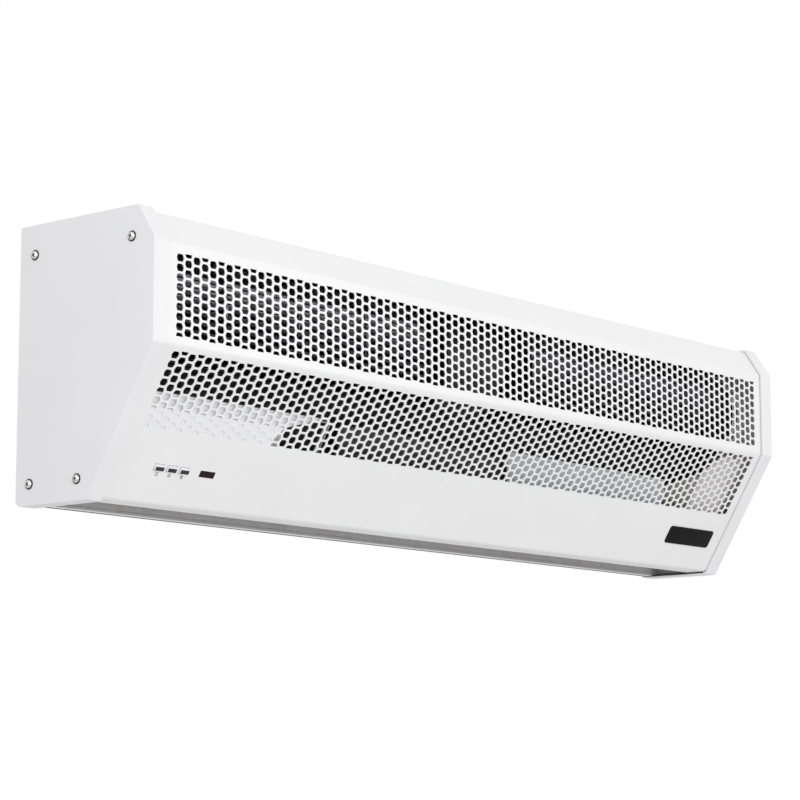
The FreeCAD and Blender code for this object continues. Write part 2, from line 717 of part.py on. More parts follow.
def wall_rail():
    """Angle that is screwed to the wall. The back panel's ledge hangs on its top flange."""
    body = new_body("wall_rail")
    section = new_sketch(body, "section", "YZ_Plane")
    hook = "-(%s + channel_depth - cap_gap)" % COVER
    under = "channel_rise - rail_wall"
    add_loop(section, [
        ("0", "-rail_drop"), ("0", "channel_rise"), (hook, "channel_rise"), (hook, under),
        ("-rail_wall", under), ("-rail_wall", "-rail_drop")])
    pad(body, section, "rail_length", both=True)
    holes = new_sketch(body, "holes", "XZ_Plane")
    for x in ("-rail_hole_span / 2", "rail_hole_span / 2"):
        for z in ("-rail_hole_rows / 2", "rail_hole_rows / 2"):
            add_circle(holes, x, z, "rail_hole / 2")
    pocket(body, holes, THROUGH % "rail_wall", both=True)


def end_plate(label, side):
    """Bulkhead inside an end cap. It takes the cap's screws and the fan's outer bearing."""
    body = new_body(label)
    section = new_sketch(body, "section", "YZ_Plane")
    rear = "-(%s + panel_sheet + fit_gap)" % COVER
    web = "%s - channel_depth" % rear
    low = "-channel_drop - panel_sheet - fit_gap"
    high = "channel_rise + panel_sheet + fit_gap"
    edge = casing("%s + cover_sheet + panel_sheet + fit_gap" % COVER)
    add_loop(section, [
        (rear, edge["rear_foot"][1]), (rear, low), (web, low), (web, high), (rear, high),
        (rear, edge["rear_top"][1]), edge["bevel_top"], edge["bevel_foot"], edge["fold"], edge["foot"]])
    for y, z in cap_screw_places():
        add_circle(section, y, z, "screw_shank / 2 + fit_gap")
    pad(body, section, "panel_sheet", back=side == RIGHT)
    bind(body, "Placement.Base.x", signed(side, "length / 2 - cap_wall"))


# Air path

def rear_scroll():
    """Curved sheet behind the fan, with its straight wall down to the bottom flange."""
    along = "2 * %s" % INNER_HALF
    start = "-%s" % INNER_HALF
    middle = "-%s" % SCROLL_DEPTH
    outside = "scroll_radius + scroll_sheet"
    outer = along_cylinder("scroll_outer", start, middle, "scroll_rise", outside, along)
    inner = along_cylinder("scroll_inner", start, middle, "scroll_rise", "scroll_radius", along)
    ring = cut("scroll_ring", outer, inner)
    quarter = box("scroll_quarter", start, "-scroll_front", "scroll_rise", along, "scroll_front",
                  "2 * scroll_radius")
    curve = common("scroll_curve", [ring, quarter])
    wall = box("scroll_wall", start, "scroll_seat - rear_lip", FLANGE_INSIDE, along, "scroll_sheet",
               "scroll_rise - %s" % FLANGE_INSIDE)
    edge = "scroll_rise + sqrt(scroll_radius ^ 2 - (scroll_front - %s) ^ 2)" % SCROLL_DEPTH
    rise = "%s - (%s)" % (TOP_INSIDE, edge)
    flange = box("scroll_flange", start, "-scroll_front", edge, along, "scroll_sheet", rise)
    keep(fuse("rear_scroll", [curve, wall, flange]), "rear_scroll")


def outlet_guide():
    """Front wall of the outlet, from its foot on the cover's lip up to the tongue under the fan."""
    along = "2 * %s" % INNER_HALF
    start = "-%s" % INNER_HALF
    foot_y = "-lip_back - guide_foot"
    foot = box("guide_foot_flange", start, foot_y, LIP_INSIDE, along, "guide_foot", "scroll_sheet")
    y = "-lip_back - scroll_sheet * cos(%s)" % GUIDE_TILT
    wall = box("guide_wall", start, y, LIP_INSIDE, along, "scroll_sheet", GUIDE_LENGTH)
    turn(wall, "Placement", ALONG, GUIDE_TILT)
    place(wall, start, y, LIP_INSIDE)
    bead_y = "%s - %s * sin(%s)" % (y, GUIDE_LENGTH, GUIDE_TILT)
    bead_z = "%s + %s * cos(%s)" % (LIP_INSIDE, GUIDE_LENGTH, GUIDE_TILT)
    bead = along_cylinder("guide_bead", start, bead_y, bead_z, "tongue_bead", along)
    keep(fuse("outlet_guide", [foot, wall, bead]), "outlet_guide")


def partition(label, side):
    """Plate across the scroll that carries one of the motor's rubber rings."""
    x = span(side, "partition_middle", "partition_sheet")
    round_plate = along_cylinder(label + "_round", x, "-%s" % SCROLL_DEPTH, "scroll_rise",
                                 "scroll_radius - fit_gap", "partition_sheet")
    low = "tongue_bead + fit_gap - tongue_drop"
    above = box(label + "_above", x, "-%s - scroll_radius" % SCROLL_DEPTH, low, "partition_sheet",
                "2 * scroll_radius", "2 * scroll_radius")
    plate = common(label + "_plate", [round_plate, above])
    hole = along_cylinder(label + "_hole", x, "-fan_depth", "fan_rise", "ring_radius", "partition_sheet")
    keep(cut(label, plate, hole), label)


# Fan

def motor():
    """Round motor with a bevelled barrel and a bearing boss at each end."""
    body = new_body("motor")
    half = new_sketch(body, "half", "XY_Plane")
    bore = "shaft_radius + running_gap"
    right = [
        ("motor_half - motor_bevel", "motor_radius"), ("motor_half", "motor_radius - motor_bevel"),
        ("motor_half", "boss_radius"), ("motor_half + boss_length", "boss_radius"),
        ("motor_half + boss_length", bore)]
    left = [("-(%s)" % x, radius) for x, radius in reversed(right)]
    add_loop(half, left + right)
    revolve(body, half)
    place(body, "0", "-fan_depth", "fan_rise")


def ring(name, x, outer, inner, along):
    """Ring about the fan's axis."""
    whole = along_cylinder(name + "_whole", x, "-fan_depth", "fan_rise", outer, along)
    bore = along_cylinder(name + "_bore", x, "-fan_depth", "fan_rise", inner, along)
    return cut(name, whole, bore)


def motor_rings():
    """Two rubber rings between the motor's bosses and the partitions."""
    start = "partition_middle + (partition_sheet - ring_width) / 2"
    rings = []
    for name, side in (("left_ring", LEFT), ("right_ring", RIGHT)):
        rings.append(ring(name, span(side, start, "ring_width"), "ring_radius", "boss_radius", "ring_width"))
    keep(group("motor_rings", rings), "motor_rings")


def bearing_mount(label, side):
    """Rubber ring on the end plate, round the outer bearing."""
    x = span(side, "%s - mount_width" % PLATE_FACE, "mount_width")
    keep(ring(label, x, "mount_radius", "bearing_radius", "mount_width"), label)


def bearing(label, side):
    near = "%s - mount_width + (mount_width - bearing_width) / 2" % PLATE_FACE
    x = span(side, near, "bearing_width")
    keep(ring(label, x, "bearing_radius", "journal_radius + running_gap", "bearing_width"), label)


def motor_shaft():
    reach = "(impeller_inner + hub_length)"
    along = "2 * %s" % reach
    shaft = along_cylinder("motor_shaft", "-%s" % reach, "-fan_depth", "fan_rise", "shaft_radius", along)
    keep(shaft, "motor_shaft")


def journal(label, side):
    """Pin pressed into an impeller's outer hub, running in the outer bearing."""
    near = "%s - hub_length" % IMPELLER_END
    along = "%s - (%s)" % (PLATE_FACE, near)
    x = span(side, near, along)
    keep(along_cylinder(label, x, "-fan_depth", "fan_rise", "journal_radius", along), label)


def blade_section(sketch):
    """Curved blade: two arcs about one centre, closed at its inner and outer edge."""
    centre = size("blade_centre")
    bows = (size("blade_radius"), size("blade_radius") - size("blade_wall"))
    limits = (size("blade_inner"), size("impeller_radius") - size("blade_setback"))

    def meeting(bow, radius):
        share = (centre ** 2 + radius ** 2 - bow ** 2) / (2 * centre * radius)
        angle = math.acos(share)
        return FreeCAD.Vector(radius * math.cos(angle), radius * math.sin(angle), 0)

    middle = FreeCAD.Vector(centre, 0, 0)
    ends = []
    arcs = []
    for bow in bows:
        first, last = meeting(bow, limits[1]), meeting(bow, limits[0])
        angles = [math.atan2((p - middle).y, (p - middle).x) for p in (first, last)]
        arc = Part.ArcOfCircle(Part.Circle(middle, UP, bow), angles[0], angles[1])
        arcs.append(sketch.addGeometry(arc, False))
        ends.append((first, last))
    tip = sketch.addGeometry(Part.LineSegment(ends[0][0], ends[1][0]), False)
    root = sketch.addGeometry(Part.LineSegment(ends[0][1], ends[1][1]), False)
    for line, vertex in ((tip, 1), (root, 2)):
        sketch.addConstraint(Sketcher.Constraint("Coincident", line, 1, arcs[0], vertex))
        sketch.addConstraint(Sketcher.Constraint("Coincident", line, 2, arcs[1], vertex))
    sketch.addConstraint(Sketcher.Constraint("Coincident", arcs[0], 3, arcs[1], 3))
    pin(sketch, arcs[0], 3, "blade_centre", "0", (centre, 0))
    radii = (("blade_radius", arcs[0]), ("blade_radius - blade_wall", arcs[1]))
    edges = ((1, "impeller_radius - blade_setback", limits[1]), (2, "blade_inner", limits[0]))
    for text, arc in radii:
        index = sketch.addConstraint(Sketcher.Constraint("Radius", arc, sketch.Geometry[arc].Radius))
        bind(sketch, "Constraints[%d]" % index, text)
        for vertex, limit, value in edges:
            index = sketch.addConstraint(Sketcher.Constraint("Distance", -1, 1, arc, vertex, value))
            bind(sketch, "Constraints[%d]" % index, limit)


def impeller(label, side):
    """Cross-flow impeller: end discs with hubs and curved blades all round."""
    body = new_body(label)
    inward = side == RIGHT

    def disc(name, start, along, outer, inner):
        sketch = new_sketch(body, name, "YZ_Plane", signed(-side, start))
        add_circle(sketch, "0", "0", outer)
        add_circle(sketch, "0", "0", inner)
        return pad(body, sketch, along, back=inward)

    disc("outer_disc", "0", "disc_wall", "impeller_radius", "journal_radius")
    section = new_sketch(body, "blade", "YZ_Plane")
    blade_section(section)
    blade = pad(body, section, "impeller_length", back=inward)
    blades = body.newObject("PartDesign::PolarPattern", label + "_blades")
    blades.Originals = [blade]
    blades.Axis = (origin_feature(body, "X_Axis"), [""])
    blades.Angle = FULL_TURN
    blades.setExpression("Occurrences", formula("blade_count"))
    body.Tip = blades
    doc.recompute()
    disc("inner_disc", "impeller_length - disc_wall", "disc_wall", "impeller_radius", "shaft_radius")
    disc("outer_hub", "0", "hub_length", "hub_radius", "journal_radius")
    disc("inner_hub", "impeller_length - hub_length", "hub_length", "hub_radius", "shaft_radius")
    place(body, signed(side, IMPELLER_END), "-fan_depth", "fan_rise")


# Heater

def heater_spots():
    """Axes of the two heater tubes, as Y."""
    return ["-heater_depth - heater_pitch / 2", "-heater_depth + heater_pitch / 2"]


def heater_tubes():
    tubes = []
    for number, y in enumerate(heater_spots(), 1):
        tubes.append(along_cylinder("heater_tube_%d" % number, "-heater_length / 2", y, "-heater_drop",
                                    "heater_radius", "heater_length"))
    keep(group("heater_tubes", tubes), "heater_tubes")


def heater_bracket(label, side):
    """Plate across the outlet, between the scroll's wall and the guide, that holds the tubes."""
    body = new_body(label)
    section = new_sketch(body, "section", "YZ_Plane")
    rear = "scroll_seat - rear_lip - fit_gap"
    high = "bracket_rise - heater_drop"
    low = "-heater_drop - bracket_fall"

    def front(z):
        lift = "(%s - %s - scroll_sheet * sin(%s))" % (z, LIP_INSIDE, GUIDE_TILT)
        return "-lip_back - %s * tan(%s) + fit_gap / cos(%s)" % (lift, GUIDE_TILT, GUIDE_TILT)

    add_loop(section, [(rear, low), (rear, high), (front(high), high), (front(low), low)])
    for y in heater_spots():
        add_circle(section, y, "-heater_drop", "heater_radius")
    pad(body, section, "bracket_sheet", back=side == RIGHT)
    bind(body, "Placement.Base.x", signed(side, "bracket_middle + bracket_sheet"))


def thermal_cutout():
    """Round limiter on the left heater bracket, between the tubes and above them."""
    z = "-heater_drop + heater_radius + cutout_radius + fit_gap"
    cutout = along_cylinder(
        "thermal_cutout", "-bracket_middle", "-heater_depth", z, "cutout_radius", "cutout_height")
    keep(cutout, "thermal_cutout")


# Boxes and electrics

def open_box(name, x, along, foot, tall, inset, deep):
    """Tray behind the slanted face, open towards it."""
    whole = slope_box(name + "_whole", x, inset, foot, along, deep, tall)
    room = slope_box(name + "_room", "%s + box_wall" % x, inset, "%s - box_wall" % foot,
                     "%s - 2 * box_wall" % along, "%s - box_wall" % deep, "%s - 2 * box_wall" % tall)
    return cut(name + "_tray", whole, room)


def box_lid(label, x, along, foot, tall, inset):
    """Flat lid on a tray's front rim."""
    keep(slope_box(label, x, "%s - box_wall" % inset, foot, along, "box_wall", tall), label)


def control_box():
    """Tray against the left end plate, with four feet for its board."""
    tray = open_box(
        "control", CONTROL_X, CONTROL_LENGTH, CONTROL_FOOT, CONTROL_TALL, "control_inset", "control_depth")
    floor = "control_inset + control_depth - box_wall"
    side = "board_margin"
    columns = (
        "%s + box_wall + board_margin" % CONTROL_X,
        "%s + %s - box_wall - 2 * board_margin" % (CONTROL_X, CONTROL_LENGTH))
    rows = (
        "%s - box_wall - board_margin" % CONTROL_FOOT,
        "%s - %s + box_wall + 2 * board_margin" % (CONTROL_FOOT, CONTROL_TALL))
    feet = []
    for column, x in enumerate(columns):
        for row, low in enumerate(rows):
            name = "control_foot_%d%d" % (column, row)
            feet.append(slope_box(name, x, floor + " - board_lift", low, side, "board_lift", side))
    keep(fuse("control_box", [tray] + feet), "control_box")
    box_lid("control_box_lid", CONTROL_X, CONTROL_LENGTH, CONTROL_FOOT, CONTROL_TALL, "control_inset")


def control_board():
    """Circuit board on the control box's feet, with three relays."""
    back = "control_inset + control_depth - box_wall - board_lift"
    x = "%s + box_wall + board_margin" % CONTROL_X
    low = "%s - box_wall - board_margin" % CONTROL_FOOT
    along = "%s - 2 * box_wall - 2 * board_margin" % CONTROL_LENGTH
    tall = "%s - 2 * box_wall - 2 * board_margin" % CONTROL_TALL
    board = slope_box("control_card", x, back + " - board_sheet", low, along, "board_sheet", tall)
    relays = []
    for number in range(RELAY_COUNT):
        relay_x = "%s + board_margin + %d * 2 * relay_side" % (x, number)
        relays.append(slope_box("relay_%d" % number, relay_x, back + " - board_sheet - relay_height",
                                low + " - board_margin", "relay_side", "relay_height", "relay_side"))
    keep(fuse("control_board", [board] + relays), "control_board")


def terminal_box():
    """Tray against the right end plate."""
    tray = open_box(
        "terminal", TERMINAL_X, TERMINAL_LENGTH, TERMINAL_FOOT, TERMINAL_TALL, "box_inset", "terminal_depth")
    keep(tray, "terminal_box")
    box_lid("terminal_box_lid", TERMINAL_X, TERMINAL_LENGTH, TERMINAL_FOOT, TERMINAL_TALL, "box_inset")


def terminal_block():
    """Block of screw terminals on the terminal box's floor."""
    x = "%s - inner_margin - block_length" % INNER_HALF
    face = "%s - block_depth" % TERMINAL_FLOOR
    solid = slope_box("block_solid", x, face, "%s + block_height / 2" % TERMINAL_MIDDLE,
                      "block_length", "block_depth", "block_height")
    ways = []
    for number in range(int(size("block_ways"))):
        way_x = "%s + %s * block_length / block_ways - way_side / 2" % (x, number + 0.5)
        ways.append(slope_box("block_way_%d" % number, way_x, face, "%s + way_side / 2" % TERMINAL_MIDDLE,
                              "way_side", "block_depth / 2", "way_side"))
    keep(cut("terminal_block", solid, fuse("block_ways_all", ways)), "terminal_block")


def run_capacitor():
    x = "%s + box_wall + inner_margin" % TERMINAL_X
    case = slope_box("run_capacitor", x, "%s - capacitor_depth" % TERMINAL_FLOOR,
                     "%s + capacitor_height / 2" % TERMINAL_MIDDLE,
                     "capacitor_length", "capacitor_depth", "capacitor_height")
    keep(case, "run_capacitor")


# Keys and receiver

def key(label, middle):
    """Key: proud cap, flange behind the cover and stem, all square to the slanted face."""
    behind = "cover_sheet + key_gap"
    low = "%s + key_height / 2" % KEY_DOWN
    cap = slope_box(label + "_cap", "%s - key_width / 2" % middle, "-key_rise", low, "key_width",
                    "key_rise + %s" % behind, "key_height")
    flange_x = "%s - key_width / 2 - key_flange" % middle
    flange = slope_box(label + "_flange", flange_x, behind, low + " + key_flange",
                       "key_width + 2 * key_flange", "key_flange", "key_height + 2 * key_flange")
    stem = slope_box(label + "_stem", "%s - plunger_side / 2" % middle, "%s + key_flange" % behind,
                     "%s + plunger_side / 2" % KEY_DOWN, "plunger_side", "key_stem", "plunger_side")
    keep(fuse(label, [cap, flange, stem]), label)


def key_board():
    """Small board behind the keys and the window, on two posts from the cover."""
    first = key_middles()[0]
    start = "(%s - key_board_reach)" % first
    end = "(%s + key_board_reach)" % WINDOW_X
    low = "%s + key_board_height / 2" % KEY_DOWN
    along = "%s - %s" % (end, start)
    board = slope_box("key_board", start, BOARD_FRONT, low, along, "board_sheet", "key_board_height")
    keep(board, "key_board")
    posts = []
    for number, x in enumerate(("%s + post_margin" % start, "%s - post_margin" % end)):
        posts.append(slope_prism("key_post_%d" % number, x, "cover_sheet", KEY_DOWN, "post_radius",
                                 "%s - cover_sheet" % BOARD_FRONT))
    keep(group("key_board_posts", posts), "key_board_posts")


def key_switches():
    """Three push switches on the key board."""
    switches = []
    for number, middle in enumerate(key_middles()):
        face = "%s - switch_height" % BOARD_FRONT
        base = slope_box("switch_base_%d" % number, "%s - switch_side / 2" % middle, face,
                         "%s + switch_side / 2" % KEY_DOWN, "switch_side", "switch_height", "switch_side")
        plunger = slope_box("switch_plunger_%d" % number, "%s - plunger_side / 2" % middle,
                            "%s - plunger_rise" % face, "%s + plunger_side / 2" % KEY_DOWN,
                            "plunger_side", "plunger_rise", "plunger_side")
        switches.append(fuse("switch_%d" % number, [base, plunger]))
    keep(group("key_switches", switches), "key_switches")


def receiver():
    """Window in the cover with a flange behind it, and the infrared receiver on the key board."""
    low = "%s + window_height / 2" % WINDOW_DOWN
    pane_x = "%s - window_width / 2" % WINDOW_X
    pane = slope_box("window_pane", pane_x, "0", low, "window_width", "cover_sheet", "window_height")
    flange = slope_box("window_flange_plate", "%s - window_flange" % pane_x, "cover_sheet",
                       low + " + window_flange", "window_width + 2 * window_flange", "cover_sheet",
                       "window_height + 2 * window_flange")
    keep(fuse("receiver_window", [pane, flange]), "receiver_window")
    sensor = slope_box("infrared_receiver", "%s - receiver_width / 2" % WINDOW_X,
                       "%s - receiver_depth" % BOARD_FRONT, "%s + receiver_height / 2" % WINDOW_DOWN,
                       "receiver_width", "receiver_depth", "receiver_height")
    keep(sensor, "infrared_receiver")


# Cable inlet

def cable_gland():
    """Gland through the top flange, with its nut inside."""
    place_y = "-gland_depth"
    thread_foot = "%s - gland_collar" % TOP_INSIDE
    thread = cylinder("gland_thread", "gland_middle", place_y, thread_foot, "gland_radius",
                      "%s - (%s)" % (PANEL_TOP, thread_foot))
    collar = prism("gland_collar_hex", "gland_middle", place_y, PANEL_TOP, "gland_hex", "gland_collar")
    neck_foot = "%s + gland_collar" % PANEL_TOP
    neck = cylinder("gland_neck_round", "gland_middle", place_y, neck_foot, "gland_radius", "gland_neck")
    whole = fuse("gland_whole", [thread, collar, neck])
    bore = cylinder("gland_bore_hole", "gland_middle", place_y, thread_foot, "gland_bore",
                    "%s + gland_collar + gland_neck - (%s)" % (PANEL_TOP, thread_foot))
    keep(cut("cable_gland", whole, bore), "cable_gland")
    nut = prism("gland_nut_hex", "gland_middle", place_y, thread_foot, "gland_hex", "gland_collar")
    hole = cylinder("gland_nut_hole", "gland_middle", place_y, thread_foot, "gland_radius", "gland_collar")
    keep(cut("gland_nut", nut, hole), "gland_nut")


# The whole unit

for side_name, side_sign in (("left", LEFT), ("right", RIGHT)):
    end_cap(side_name + "_end_cap", side_sign)
    end_plate(side_name + "_end_plate", side_sign)
    partition(side_name + "_partition", side_sign)
    bearing_mount(side_name + "_bearing_mount", side_sign)
    bearing(side_name + "_bearing", side_sign)
    journal(side_name + "_journal", side_sign)
    impeller(side_name + "_impeller", side_sign)
    heater_bracket(side_name + "_heater_bracket", side_sign)
front_cover()
back_panel()
wall_rail()
rear_scroll()
outlet_guide()
motor()
motor_rings()
motor_shaft()
heater_tubes()
thermal_cutout()
control_box()
control_board()
terminal_box()
terminal_block()
run_capacitor()
for key_label, key_middle in zip(("power_button", "speed_button", "heat_button"), key_middles()):
    key(key_label, key_middle)
key_board()
key_switches()
receiver()
cable_gland()
screw_shape = screw_model()
end_cap_screws(screw_shape)
doc.recompute()

for item in doc.Objects:
    if "Invalid" in item.State or "Error" in item.State:
        raise RuntimeError("%s did not build: %s" % (item.Label, item.State))
for piece in pieces:
    if piece.Shape.isNull() or not piece.Shape.isValid():
        raise RuntimeError("%s has no valid shape" % piece.Label)

os.makedirs("parts", exist_ok=True)
for piece in pieces:
    piece.Shape.exportStep(os.path.join("parts", piece.Label + ".step"))
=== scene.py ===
"""Looks of the wall-mounted air curtain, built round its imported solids.

Sizes of the pieces are in mm, in the frame of the solids; light and camera are in metres.
"""

import math

import bmesh
import bpy
from mathutils import Matrix, Vector
from mathutils.geometry import delaunay_2d_cdt


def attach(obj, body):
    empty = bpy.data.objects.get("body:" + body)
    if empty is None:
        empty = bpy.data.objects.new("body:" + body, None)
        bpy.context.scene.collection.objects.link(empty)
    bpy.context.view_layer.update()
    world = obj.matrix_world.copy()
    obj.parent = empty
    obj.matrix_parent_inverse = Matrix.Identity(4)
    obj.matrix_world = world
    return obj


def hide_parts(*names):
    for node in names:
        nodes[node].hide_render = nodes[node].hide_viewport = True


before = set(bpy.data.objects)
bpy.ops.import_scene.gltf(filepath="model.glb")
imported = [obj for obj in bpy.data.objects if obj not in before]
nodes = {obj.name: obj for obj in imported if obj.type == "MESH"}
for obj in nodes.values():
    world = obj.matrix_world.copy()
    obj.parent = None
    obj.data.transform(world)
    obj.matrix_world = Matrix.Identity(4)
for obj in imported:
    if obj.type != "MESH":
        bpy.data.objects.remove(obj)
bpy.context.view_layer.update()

MM = 0.001

# Distances within which points of a mesh are joined, in mm, and the slack of flat cuts
MERGE = 0.0001
SHEET_MERGE = 0.001
CUT_SLACK = 1e-5

# Angles in degrees above which edges stay crisp
SHEET_CRISP = 30.0
MOULDING_CRISP = 35.0
ROUND_CRISP = 40.0
COVER_CRISP = 25.0

# Steps along a rounded corner of a small rectangle
RECTANGLE_STEPS = 5

# Section of the front cover's outer face, as (y, z) in mm from the top's rear edge to the lip's
COVER_HALF = 447.2
COVER_TOP_BACK = (-100.0, 73.2)
COVER_TOP = (-136.7, 73.2)
COVER_BROW = (-154.2, 47.05)
COVER_FOLD = (-154.2, -35.81)
COVER_FOOT = (-82.53, -153.2)
COVER_LIP = (-61.0, -153.2)
COVER_BENDS = (2.5, 4.0, 8.0, 5.0)
COVER_BEND_STEPS = 8
COVER_SHEET = 0.8

# Perforation of the front cover, in mm
COLUMNS = 90
COLUMN_PITCH = 9.398
ROW_PITCH = 7.961
FULL_ROWS = 8
HOLE_WIDTH = 8.5
HOLE_HEIGHT = 6.2
HOLE_FLAT = 5.8
HOLE_ROUND = 0.8
HOLE_CORNER_SHARE = 0.25
UPPER_FIELD_TOP = 39.1
LOWER_FIELD_TOP = -4.4

# End caps, in mm
CAP_END = 450.0
CAP_MOUTH = 433.0
CAP_WALL = 2.5
CAP_RIM = 0.6
CAP_RIM_STEPS = 5
CAP_LIP = 0.4
CAP_CORNER_STEPS = 6
CAP_CORNER_LEAST = 0.3
# Dark bead along the foot of each cap's mouth, painted as the shadow in the gap there
BEAD_RADIUS = 0.8
BEAD_ARC = (90, 270)
BEAD_STEPS = 8
BEAD_DROP = -154.0
BEAD_REACH = (-80.0, -8.0)

# Corners of an end cap as (y, z, rounding) and its screws as (y, z), in mm
CAP_CORNERS = (
    (0.0, 76.0, 2.5),
    (-138.2, 76.0, 2.5),
    (-157.0, 47.9, 2.5),
    (-157.0, -36.6, 2.5),
    (-84.1, -156.0, 2.5),
    (0.0, -156.0, 6.0),
)
CAP_SCREWS = ((-18.0, 50.6), (-131.6, 50.6), (-16.5, -138.4), (-72.6, -138.4))

# Screws, in mm
SCREW_STEPS = 24
HEAD_RADIUS = 3.4
HEAD_RISE = 2.4
SHANK_RADIUS = 2.0
SHANK_LENGTH = 10.0
RECESS_SPAN = 3.4
RECESS_WIDTH = 1.2
RECESS_DEPTH = 1.4
# Dark block painted as the shade in each screw's recess, and dark ring painted round each head as the
# shade at its edge
RECESS_SHADE_DROP = 0.6
SHADE_RING_INNER = 3.1
SHADE_RING_OUTER = 4.4
SHADE_RING_RISE = 0.5
COVER_SCREW_PLACES = (-380.0, -190.0, 0.0, 190.0, 380.0)
COVER_SCREW_DEPTH = -106.0
COVER_SCREW_SCALE = 0.9

# Profile of a screw's head from its top, as shares of its radius and rise
HEAD_SHARES = ((0.25, 1.0), (0.5, 0.96), (0.72, 0.83), (0.9, 0.6), (1.0, 0.3))

# Turns of the screws in radians, and how much they change from screw to screw or per mm along X
CAP_SCREW_TURN = 0.35
CAP_SCREW_TURN_STEP = 0.9
COVER_SCREW_TURN = 0.4
COVER_SCREW_TURN_STEP = 0.01

# Keys, window and badge on the slanted face, in mm along X and down the slope
KEY_PLACES = (-384.9, -370.7, -356.5)
KEY_SLOPE = 104.735
KEY_WIDTH = 10.4
KEY_HEIGHT = 5.4
KEY_RISE = 1.5
KEY_GAP = 0.45
KEY_ROUND = 0.7
KEY_DEPTH = 1.6
INSERT_WIDTH = 9.6
INSERT_HEIGHT = 3.4
INSERT_ROUND = 0.4
INSERT_DROP = 0.7
INSERT_SINK = 0.3
INSERT_RISE = 0.12
SIGN_SLOPE = 110.6
SIGN_SIZE = 3.2
SIGN_LINE = 0.5
SIGN_RISE = 0.05
SIGN_GAP = 0.1
WINDOW_PLACE = -329.3
WINDOW_SLOPE = 105.435
WINDOW_WIDTH = 17.2
WINDOW_HEIGHT = 5.7
WINDOW_GAP = 0.15
BADGE_PLACE = 376.0
BADGE_SLOPE = 101.5
BADGE_WIDTH = 77.6
BADGE_HEIGHT = 19.1
BADGE_ROUND = 3.0
BADGE_RISE = 0.9

# Soft edges of the keys, inserts and badge, as (inset, drop below the top) in mm
KEY_EDGE = ((0.0, 0.4), (0.12, 0.12), (0.4, 0.0))
INSERT_EDGE = ((0.0, 0.08), (0.15, 0.0))
BADGE_EDGE = ((0.0, 0.4), (0.15, 0.1), (0.5, 0.0))

# How much of an edge's inset the rounding of their corners loses
KEY_TIGHTENING = 0.5
INSERT_TIGHTENING = 0.0
BADGE_TIGHTENING = 1.0

# Signs under the keys, as angles in degrees, shares of a sign's size and counts
POWER_ARC = (120, 420)
POWER_ARC_STEPS = 14
POWER_BAR = 0.62
FAN_PETAL = 0.25
FAN_TURNS = (90, 210, 330)
FAN_ARC = (-180, 60)
FAN_ARC_STEPS = 9
HEAT_WAVES = (-0.34, 0.0, 0.34)
HEAT_SWAY = 0.1
HEAT_STEPS = 8

# Boxes behind the slanted face, in mm along X, down the slope and inwards from it
BOX_END = 446.1
BOX_WALL = 1.0

# Control box: its lid's section as (down, inwards, right end), its tab as (top, foot, left, right)
CONTROL_LID = (
    (41.8, 2.8, -219.0),
    (54.0, 2.3, -258.0),
    (55.2, 0.8, -264.0),
    (66.0, 0.8, -284.0),
    (94.0, 0.8, -286.0),
)
CONTROL_TAB = (57.0, 94.0, -290.0, -251.0)
CONTROL_TAB_DEPTH = 10.7
CONTROL_SKIRT_DEPTH = 7.0
CONTROL_BOX_TOP = 45.0
CONTROL_BOX_END = -205.0
# Dark plate and dark pad inside the control box, painted as the shade in it
CONTROL_SHADE_DEPTH = 11.6
CONTROL_SHADE_PAD = 0.9
CONTROL_SHADE_PAD_DEPTHS = (6.0, 27.0)

# Terminal box: outlines of its plates as (x, down), its tray as (left, top, right, foot)
TERMINAL_LID = ((46.0, 45.6), (304.0, 48.0), (312.0, 60.0), (336.0, 112.0), (88.0, 112.0))
TERMINAL_LID_DEPTH = 10.0
TERMINAL_PLATE = ((299.0, 57.0), (342.0, 44.5), (366.0, 36.0), (366.0, 112.0), (320.0, 112.0))
TERMINAL_PLATE_DEPTH = 10.9
TERMINAL_END = ((366.0, 30.0), (385.0, 13.0), (425.0, 13.0), (425.0, 112.0), (366.0, 112.0))
TERMINAL_END_DEPTH = 10.4
TERMINAL_TRAY = (75.0, 66.0, 446.1, 112.0)
TERMINAL_TRAY_DEPTHS = (11.0, 24.0)
CABLE_COVER = ((-181.0, 53.0), (-150.0, 48.0), (75.5, 57.0), (75.5, 112.0), (-146.0, 112.0))
CABLE_COVER_DEPTH = 18.0

# Outlet, in mm
WALL_FACE = -14.0
WALL_BACK = -13.0
WALL_FOOT = -152.0
WALL_HEAD = 4.0
SCROLL_CENTRE = (-74.0, 4.0)
SCROLL_INNER = 60.0
SCROLL_STEPS = 24
SCROLL_SHEET = 1.0
SCROLL_FRONT = -103.0
SCROLL_TOP = 70.9
TRIM_FRONT = -15.4
TRIM_BACK = -9.0
# The dark strip from the trim's back to here is painted as the shade along the flange's rear edge
TRIM_REAR = -4.0
TRIM_TOP = -153.2
TRIM_SHEET = 0.9

# Impellers, in mm
FAN_DEPTH = -80.0
FAN_RISE = 8.0
IMPELLER_INNER = 75.0
IMPELLER_LENGTH = 352.0
IMPELLER_RADIUS = 50.0
BLADES = 36
BLADE_INNER = 39.0
BLADE_OUTER = 49.5
BLADE_SWEEP = 0.25
BLADE_BEND = 1.5
BLADE_WALL = 1.2
BLADE_STEPS = 6
RINGS = 5
RING_INNER = 37.0
RING_WALL = 1.6
COLLAR_WIDTH = 8.0
COLLAR_INNER = 49.55
COLLAR_OUTER = 49.95
DISH_START = 428.5
DISH_END = 441.0
DISH_HOLE = 15.5
DISH_SHEET = 1.0
HUB_RADIUS = 13.0
HUB_BORE = 6.5
HUB_LENGTH = 22.0
ROUND_STEPS = 48

